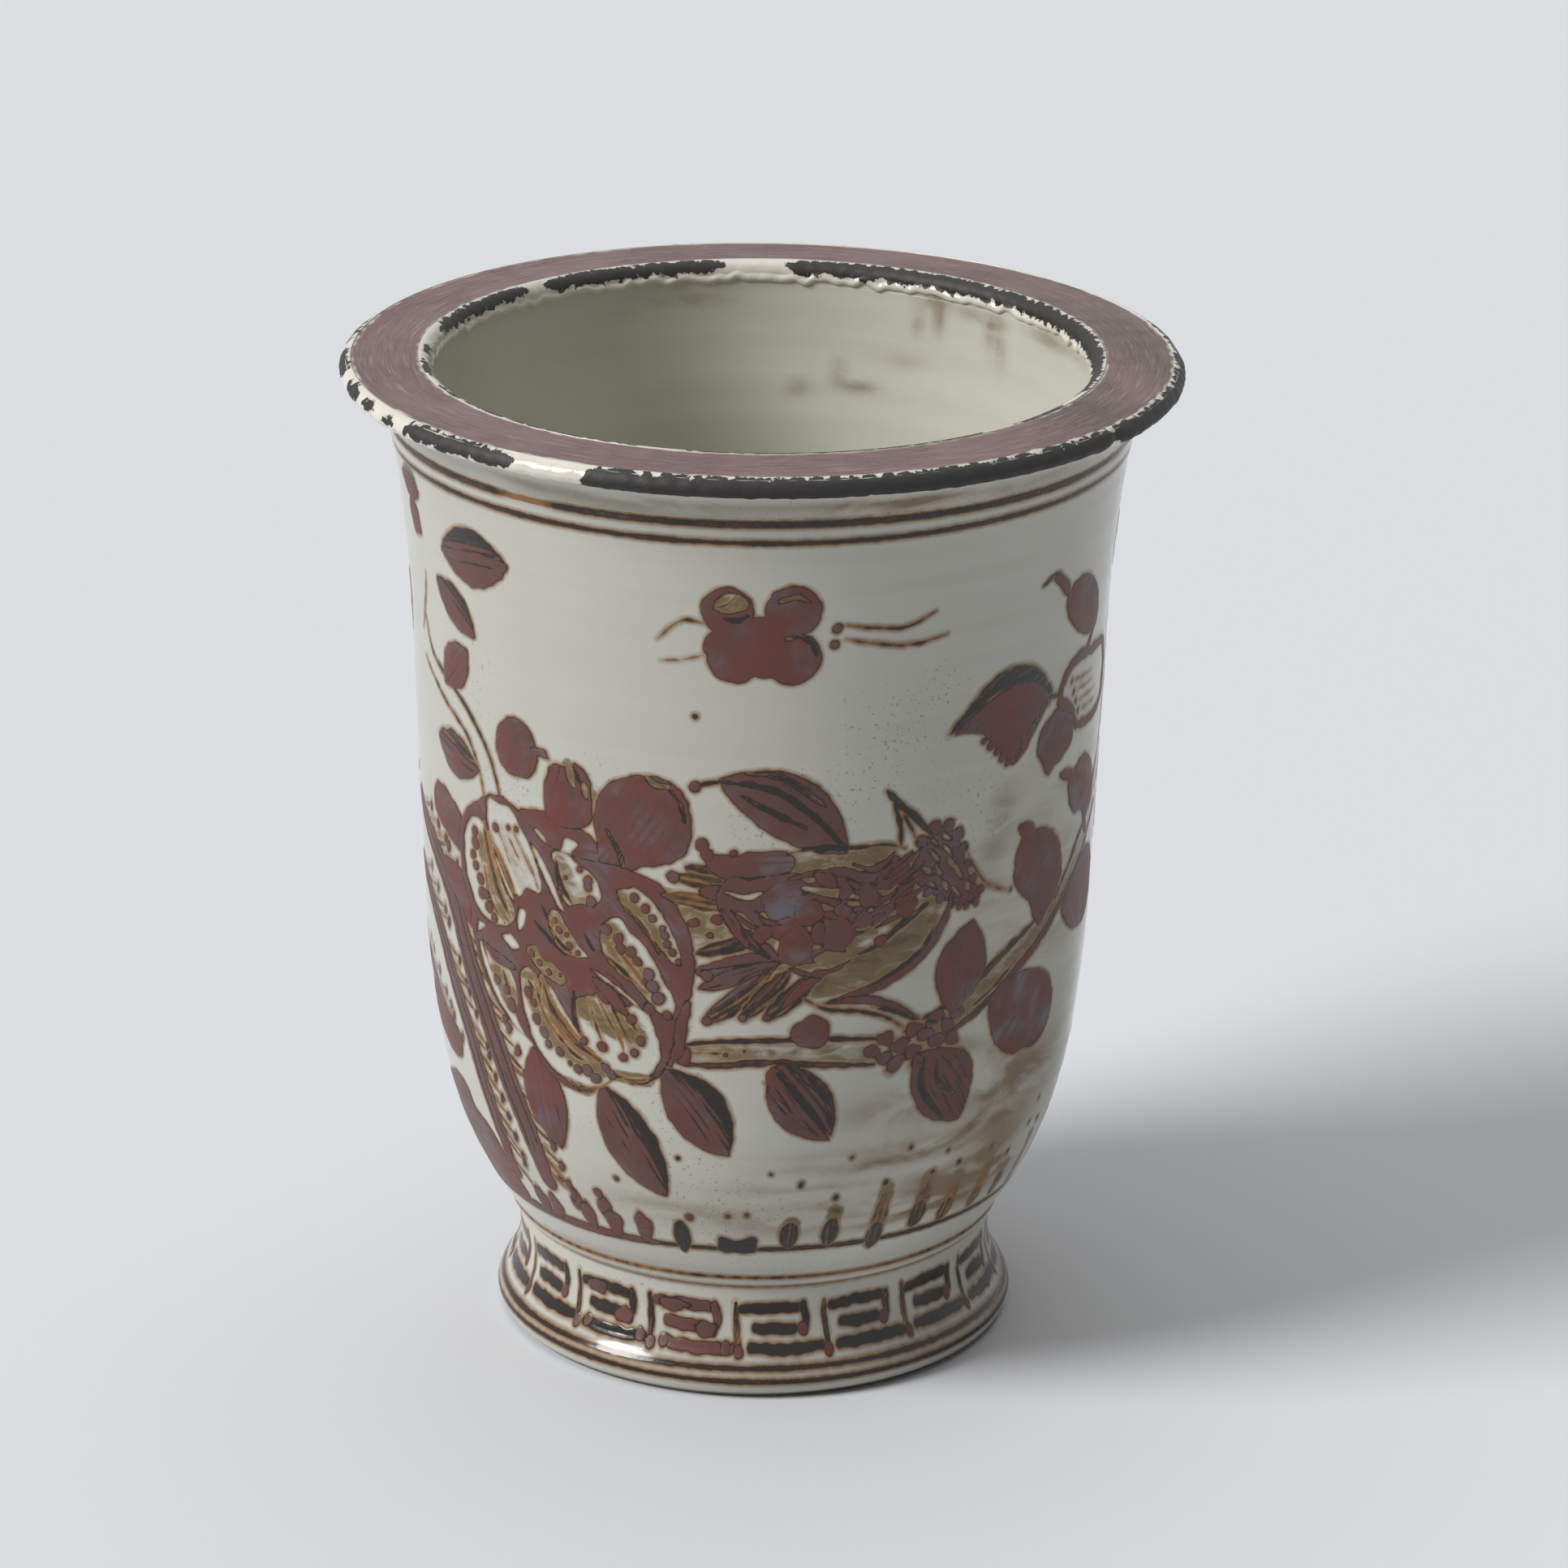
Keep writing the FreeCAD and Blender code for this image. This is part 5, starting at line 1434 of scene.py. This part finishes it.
class POT_OT_glazes(bpy.types.Operator):
    """Make the pale glaze skins of the wall and of the planting space"""

    bl_idname = "pot.glazes"
    bl_label = "Pale Glazes"

    def execute(self, context):
        make_glaze_group()
        held = sizes()
        a = columns_of(held["columns"])[None, :]
        face = outline(OUTSIDE, 1.7)
        r, z = face[:, :1] + held["glaze"], face[:, 1:]
        under_rim = ramp(z, 412, 3.6)
        z = z - under_rim * 0.8
        r, z = np.broadcast_arrays(r + throwing(a, z) * ramp(z, 2, 6), z + 0 * a)
        radius, height = with_back(r, z, face[::-4])
        # The wall's stain layer also holds painted shade in the cove under the rim
        made = skin("wall_glaze", a, radius, height, {"stain": stains(a, height, OUTER_STAINS_AND_SHADE)}, ring=True)
        fitted(made, glaze_material("wall_glaze", "glaze", "glaze_cool", 1.0), "outer_glaze", "outer_glaze")

        face = outline(INSIDE, 2.2)
        on_floor = ramp(96 - face[:, 1:], 0, 34)
        r, z = face[:, :1] - held["glaze"] * (1 - on_floor), face[:, 1:] + held["glaze"] * on_floor
        rings = held["ripple"] * 1.6 * np.sin(2 * math.pi * z / 17 + np.sin(a + 2)) * ramp(z, 100, 30)
        r, z = np.broadcast_arrays(r + rings * ramp(414 - z, 0, 6), z + 0 * a)
        radius, height = with_back(r, z, face[::-3])
        layers = {"stain": stains(a, height, INNER_STAINS)}
        made = skin("planting_space_glaze", a, radius, height, layers, ring=True)
        fitted(made, glaze_material("liner_glaze", "liner", "liner", 0.5), "liner_glaze", "liner_glaze")
        return {"FINISHED"}


# Painted skins, in mm: past their marks they dip into the glaze between SKIN_ENDS and SKIN_REACH

SKIN_PROUD, SKIN_DIP = 0.03, 0.09
SKIN_ENDS, SKIN_REACH = 1.5, 2.8
WASH_SHOWS = 0.03


class POT_OT_painting(bpy.types.Operator):
    """Brush the iron-slip painting on the wall and the foot, one piece for each motif"""

    bl_idname = "pot.painting"
    bl_label = "Iron Painting"

    def execute(self, context):
        make_slip_group()
        held = sizes()
        canvas = painted_canvas()
        material = painted_material()
        a, z = columns_of(canvas.columns)[None, :], canvas.z[:, None]
        away = np.minimum(-canvas.cover, np.where(canvas.wash > WASH_SHOWS, 1.0, FAR))
        deep = np.clip((canvas.cover + 0.7) / 1.6, 0, 1)
        groove = np.clip(1 - canvas.seam / 1.2, 0, 1) * np.clip(canvas.cover / 1.5, 0, 1)
        full = 0.35 + 0.65 * np.clip(canvas.load, 0, 1)
        lift = held["slip"] * deep * deep * (3 - 2 * deep) * full * (1 - 0.5 * groove)
        lift = lift + SKIN_PROUD - ramp(away, SKIN_ENDS, SKIN_REACH - SKIN_ENDS) * SKIN_DIP
        radius = wall_radius(z) + throwing(a, z) + lift
        height = np.broadcast_to(z, radius.shape)
        # The stain layer also holds painted shade in the cove under the rim
        layers = {"load": canvas.load, "wash": canvas.wash, "stain": stains(a, z, OUTER_STAINS_AND_SHADE)}
        layers |= {"cover": np.clip(canvas.cover, -4, 4), "seam": np.clip(canvas.seam, 0, 4)}
        near = away < SKIN_REACH
        near = near | np.roll(near, -1, axis=1)
        corners = near[:-1] | near[1:]
        for number, motif in enumerate(canvas.motifs):
            keep = corners & (canvas.owner[:-1] == number)
            made = skin("painted_" + motif, a, radius, height, layers, keep)
            fitted(made, material, "outer_glaze")
        return {"FINISHED"}


# Dark patches on the two rolls: from and to in degrees, middle and width as shares of the roll's face

OUTER_PATCHES = [
    (-108, -95, 0.72, 0.42), (-92, -80, 0.70, 0.46), (-76, -70, 0.68, 0.46), (-68, -63.5, 0.66, 0.40),
    (-60.5, -57.5, 0.58, 0.34), (-55, -34, 0.66, 0.54), (-24, 113, 0.52, 0.86), (118, 131, 0.5, 0.5),
    (138, 171, 0.55, 0.7), (176, 182, 0.5, 0.5), (-172, -150, 0.55, 0.7), (-142, -118, 0.55, 0.6),
]
MOUTH_PATCHES = [
    (66, 176, 0.32, 0.50), (-173, -137, 0.30, 0.46), (-133, -103, 0.28, 0.42), (-93, -88, 0.24, 0.36),
    (-84, -74, 0.12, 0.26), (-68, -20, 0.06, 0.16), (-12, 40, 0.1, 0.3), (46, 60, 0.1, 0.3),
]
EDGE_RADIUS, EDGE_GIRTH, NICK_ANGLE = 174, 11, 55
MOUTH_RADIUS, MOUTH_GIRTH = 140, 12.6
MOUTH_HEM = 415.1


def patch_distance(a, share, spans, radius, girth):
    """How deep in mm each point lies in a dark patch, whose round ends are 8 mm long.

    The share counts along the roll's face, which is `girth` mm long."""
    deep = np.full(np.broadcast(a, share).shape, -FAR)
    for start, end, middle, width in spans:
        centre, half = math.radians(start + end) / 2, math.radians(end - start) / 2
        off = np.abs((a - centre + math.pi) % (2 * math.pi) - math.pi)
        ends = (half - off) * radius
        sides = (width / 2 * np.sqrt(np.clip(ends / 8, 0, 1)) - np.abs(share - middle)) * girth
        deep = np.maximum(deep, np.minimum(ends, sides))
    return deep


def edge_roll(a):
    """The roll of the rim's edge: lumps, beads and sags low down, raised dark patches, and one nick."""
    face, back = outline(EDGE_ROLL, 0.55), outline(EDGE_ROLL_BACK, 2.5)
    share = np.linspace(0, 1, len(face))[:, None]
    lumps = 0.30 * waves(a, share * 6, 3, 16, (20, 150), (0.2, 1.5))
    lumps = lumps + 0.22 * waves(a, share * 3, 4, 8, (5, 24), (0.1, 0.6))
    beads = np.clip(waves(a, 0, 6, 14, (60, 190), (0, 0)), 0, 1) * np.exp(-(((share - 0.12) / 0.12) ** 2))
    patch = patch_distance(a, share, OUTER_PATCHES, EDGE_RADIUS, EDGE_GIRTH)
    patch = patch + 1.1 * waves(a, share * 5, 7, 12, (30, 170), (0.4, 1.6))
    raised = 0.14 * np.clip(patch + 0.5, 0, 1)
    held = np.sin(math.pi * np.clip(share * 1.04, 0.0, 1)) ** 0.6
    grow = (lumps * 0.7 + 0.5 * beads + raised - 0.35) * held
    out = np.gradient(face, axis=0)
    out = np.stack([out[:, 1], -out[:, 0]], axis=1) / np.hypot(*out.T)[:, None]
    r, z = face[:, :1] + out[:, :1] * grow, face[:, 1:] + out[:, 1:] * grow
    sags = np.clip(waves(a, 0, 8, 10, (18, 120), (0, 0)), 0, 1)
    z = z - 0.5 * sags * np.clip(1 - share * 5, 0, 1)
    off_nick = (a - math.radians(NICK_ANGLE)) * EDGE_RADIUS
    nick = np.exp(-((off_nick / 4.5) ** 2)) * np.exp(-(((share - 0.35) / 0.3) ** 2))
    r = np.minimum(r - 1.6 * nick, RIM_RADIUS)
    layers = {"patch": held_behind(patch - 6 * nick, back, -FAR), "bare": 0.0, "stain": 0.0}
    return skin("rim_edge_white_roll", a, *with_back(r, z, back), layers, ring=True)


def mouth_roll(a):
    """The roll that drips into the mouth: a thick wavy hem, and below it a skin flush with the liner."""
    face, back = outline(MOUTH_ROLL, 0.4), outline(MOUTH_ROLL_BACK, 2.5)
    r, z = np.broadcast_arrays(face[:, :1] + 0 * a, face[:, 1:] + 0 * a)
    share = np.linspace(0, 1, len(face))[:, None]
    drips = 0.75 * waves(a, 0, 11, 12, (14, 70), (0, 0)) + 0.4 * waves(a, 0, 12, 8, (60, 130), (0, 0))
    above = z - (MOUTH_HEM + sizes()["drip"] * drips)
    shown = np.clip(above / 0.35 + 0.5, 0, 1)
    bead = 0.95 * np.sin(math.pi * np.clip(above / 3.6, 0, 1)) ** 0.7
    lumps = 0.22 * waves(a, share * 6, 13, 16, (16, 120), (0.2, 1.5))
    patch = patch_distance(a, share, MOUTH_PATCHES, MOUTH_RADIUS, MOUTH_GIRTH)
    patch = patch + 0.7 * waves(a, share * 5, 14, 12, (30, 150), (0.4, 1.6))
    raised = 0.12 * np.clip(patch + 0.5, 0, 1)
    proud = (lumps + raised) * np.sin(math.pi * np.clip(share * 0.96 + 0.02, 0, 1)) ** 0.5
    flush = ramp(418 - z, 0, 2) * 0.5 * (1 - shown)
    r = r - (proud + bead) * shown * np.clip(share * 5, 0, 1) + flush
    z = np.minimum(z - 0.15 * np.clip(lumps, -1, 1) * np.clip(1 - share * 6, 0, 1), POT_TOP)
    layers = {"patch": held_behind(patch, back, -FAR), "bare": held_behind(1 - shown, back, 0)}
    layers["stain"] = held_behind(stains(a, z, INNER_STAINS), back, 0)
    return skin("mouth_white_roll", a, *with_back(r, z, back), layers, ring=True)


class POT_OT_rolls(bpy.types.Operator):
    """Make the thick white glaze roll of the rim's edge and the one that drips into the mouth"""

    bl_idname = "pot.rolls"
    bl_label = "White Rolls"

    def execute(self, context):
        make_flake_group()
        material = roll_material()
        a = columns_of(1400)[None, :]
        fitted(edge_roll(a), material, "roll_glaze", "rim_edge_roll")
        fitted(mouth_roll(a), material, "roll_glaze", "mouth_roll")
        return {"FINISHED"}


def bell(a, middle, spread, power=2):
    """A rise to 1 about an angle, exp(-((a - middle) / spread)^power), with its angles in degrees."""
    return np.exp(-(((a - math.radians(middle)) / math.radians(spread)) ** power))


def white_edge(a, inward, seed, wave, start, fade):
    """Share of white where the flat's slip thins beside a roll, by the distance from the roll in mm."""
    wavy = inward + wave * waves(a, 0, seed, 14, (10, 110), (0, 0))
    return np.clip(1 - (wavy - start) / fade, 0, 1)


class POT_OT_rim(bpy.types.Operator):
    """Make the brushed slip on the flat top of the rim"""

    bl_idname = "pot.rim"
    bl_label = "Rim Slip"

    def execute(self, context):
        make_rim_group()
        a = columns_of(900)[None, :]
        across = np.concatenate([np.linspace(0, 1, 34), np.linspace(1, 0, 6)])[:, None]
        top = (np.arange(40) < 34)[:, None]
        r = RIM_OUTER + (RIM_INNER - RIM_OUTER) * across
        (outer_r, outer_z), (inner_r, inner_z) = RIM_CLAY_OUTER, RIM_CLAY_INNER
        surface = outer_z + (inner_z - outer_z) * (outer_r - r) / (outer_r - inner_r)
        from_edge = np.minimum(RIM_OUTER - r, r - RIM_INNER)
        strokes = waves(a, r * 1.4, 31, 14, (3, 30), (0.3, 2.2))
        thick = 0.6 + 0.09 * strokes - 0.25 * np.exp(-((from_edge / 0.8) ** 2))
        r, z = np.broadcast_arrays(r + 0 * a, surface + np.where(top, thick, 0.0))
        worn = 0.95 * bell(a, 92, 52, 4) + 0.55 * (bell(a, -62, 24) * ramp(r, 156, 10))
        wear = np.clip(worn + 0.3 * bell(np.abs(a), 165, 35, 4) + 0.15, 0, 1)
        outer_edge = white_edge(a, RIM_OUTER - r, 33, 0.7, 0.25, 0.7)
        inner_edge = white_edge(a, r - RIM_INNER, 34, 0.5, 0.35, 0.6)
        layers = {"around": a * 159, "across": r, "wear": wear, "edge": np.maximum(outer_edge, inner_edge)}
        made = skin("rim_top_slip", a, r, z, layers, ring=True)
        fitted(made, rim_material(), "rim_coat", "rim_top_coat")
        return {"FINISHED"}


# Stage, in metres and degrees

FLOOR = [(-9, -7, 0), (9, -7, 0), (9, 11, 0), (-9, 11, 0)]
LAMPS = [("key_light", (-0.93, -0.37, 0.75), 2.6, 24), ("top_light", (0.0, 0.2, 1.0), 0.85, 60)]
CAMERA_PLACE, CAMERA_DOWN, CAMERA_ROLL = (0.01082, -2.568, 1.1812), 20.24, 0.65
SENSOR_MM, LENS_MM = 36.0, 149.07


class POT_OT_stage(bpy.types.Operator):
    """Set the pale floor, the soft lights, the background and the camera"""

    bl_idname = "pot.stage"
    bl_label = "Stage"

    def execute(self, context):
        scene = context.scene
        scene.view_settings.view_transform = "Standard"
        mesh = bpy.data.meshes.new("floor")
        mesh.from_pydata(FLOOR, [], [(0, 1, 2, 3)])
        floor = bpy.data.objects.new("floor", mesh)
        scene.collection.objects.link(floor)
        made, _, shader = new_material("pale_floor")
        shader.inputs["Base Color"].default_value = linear("floor")
        shader.inputs["Roughness"].default_value = 0.75
        mesh.materials.append(made)

        world = bpy.data.worlds.new("studio")
        scene.world = world
        world.use_nodes = True
        tree = world.node_tree
        tree.nodes.clear()
        path = put(tree, "ShaderNodeLightPath")
        seen = sum_of(tree, "MAXIMUM", path.outputs["Is Camera Ray"], path.outputs["Is Glossy Ray"])
        seen = sum_of(tree, "MAXIMUM", seen, path.outputs["Is Transmission Ray"])
        light = put(tree, "ShaderNodeBackground", {"Color": (1.0, 0.985, 0.95, 1), "Strength": 0.12})
        shown = put(tree, "ShaderNodeBackground", {"Color": (0.70, 0.725, 0.76, 1), "Strength": 1.0})
        mixed = put(tree, "ShaderNodeMixShader", {0: seen, 1: light.outputs[0], 2: shown.outputs[0]})
        put(tree, "ShaderNodeOutputWorld", {"Surface": mixed.outputs[0]})

        for name, way, strength, spread in LAMPS:
            data = bpy.data.lights.new(name, "SUN")
            data.energy, data.angle = strength, math.radians(spread)
            lamp = bpy.data.objects.new(name, data)
            lamp.location = Vector(way).normalized() * 3
            lamp.rotation_euler = Vector(way).to_track_quat("Z", "Y").to_euler()
            scene.collection.objects.link(lamp)

        data = bpy.data.cameras.new("camera")
        data.sensor_width, data.lens = SENSOR_MM, LENS_MM
        camera = bpy.data.objects.new("camera", data)
        camera.location = CAMERA_PLACE
        tilt = Euler((math.radians(90 - CAMERA_DOWN), 0, 0)).to_matrix()
        camera.rotation_euler = (tilt @ Euler((0, 0, math.radians(CAMERA_ROLL))).to_matrix()).to_euler()
        scene.collection.objects.link(camera)
        scene.camera = camera
        return {"FINISHED"}


class POT_PT_panel(bpy.types.Panel):
    """Lists the pot's sizes, colours and steps"""

    bl_idname = "POT_PT_panel"
    bl_label = "Painted Flower Pot"
    bl_space_type = "VIEW_3D"
    bl_region_type = "UI"
    bl_category = "Flower Pot"

    def draw(self, context):
        layout = self.layout
        for held in (context.scene.pot_sizes, context.scene.pot_colours):
            box = layout.box()
            for name in held.__annotations__:
                box.prop(held, name)
        for step in STEPS:
            layout.operator(step.bl_idname)


STEPS = (POT_OT_clay, POT_OT_glazes, POT_OT_painting, POT_OT_rolls, POT_OT_rim, POT_OT_stage)
CLASSES = (PotSizes, PotColours, *STEPS, POT_PT_panel)


def register():
    """Registers the classes and hangs the settings on the scene."""
    for kind in CLASSES:
        bpy.utils.register_class(kind)
    bpy.types.Scene.pot_sizes = PointerProperty(type=PotSizes)
    bpy.types.Scene.pot_colours = PointerProperty(type=PotColours)


def unregister():
    """Takes the settings and the classes away again."""
    del bpy.types.Scene.pot_colours
    del bpy.types.Scene.pot_sizes
    for kind in reversed(CLASSES):
        bpy.utils.unregister_class(kind)


def main():
    register()
    bpy.ops.pot.clay()
    bpy.ops.pot.glazes()
    bpy.ops.pot.painting()
    bpy.ops.pot.rolls()
    bpy.ops.pot.rim()
    bpy.ops.pot.stage()


if __name__ == "__main__":
    main()
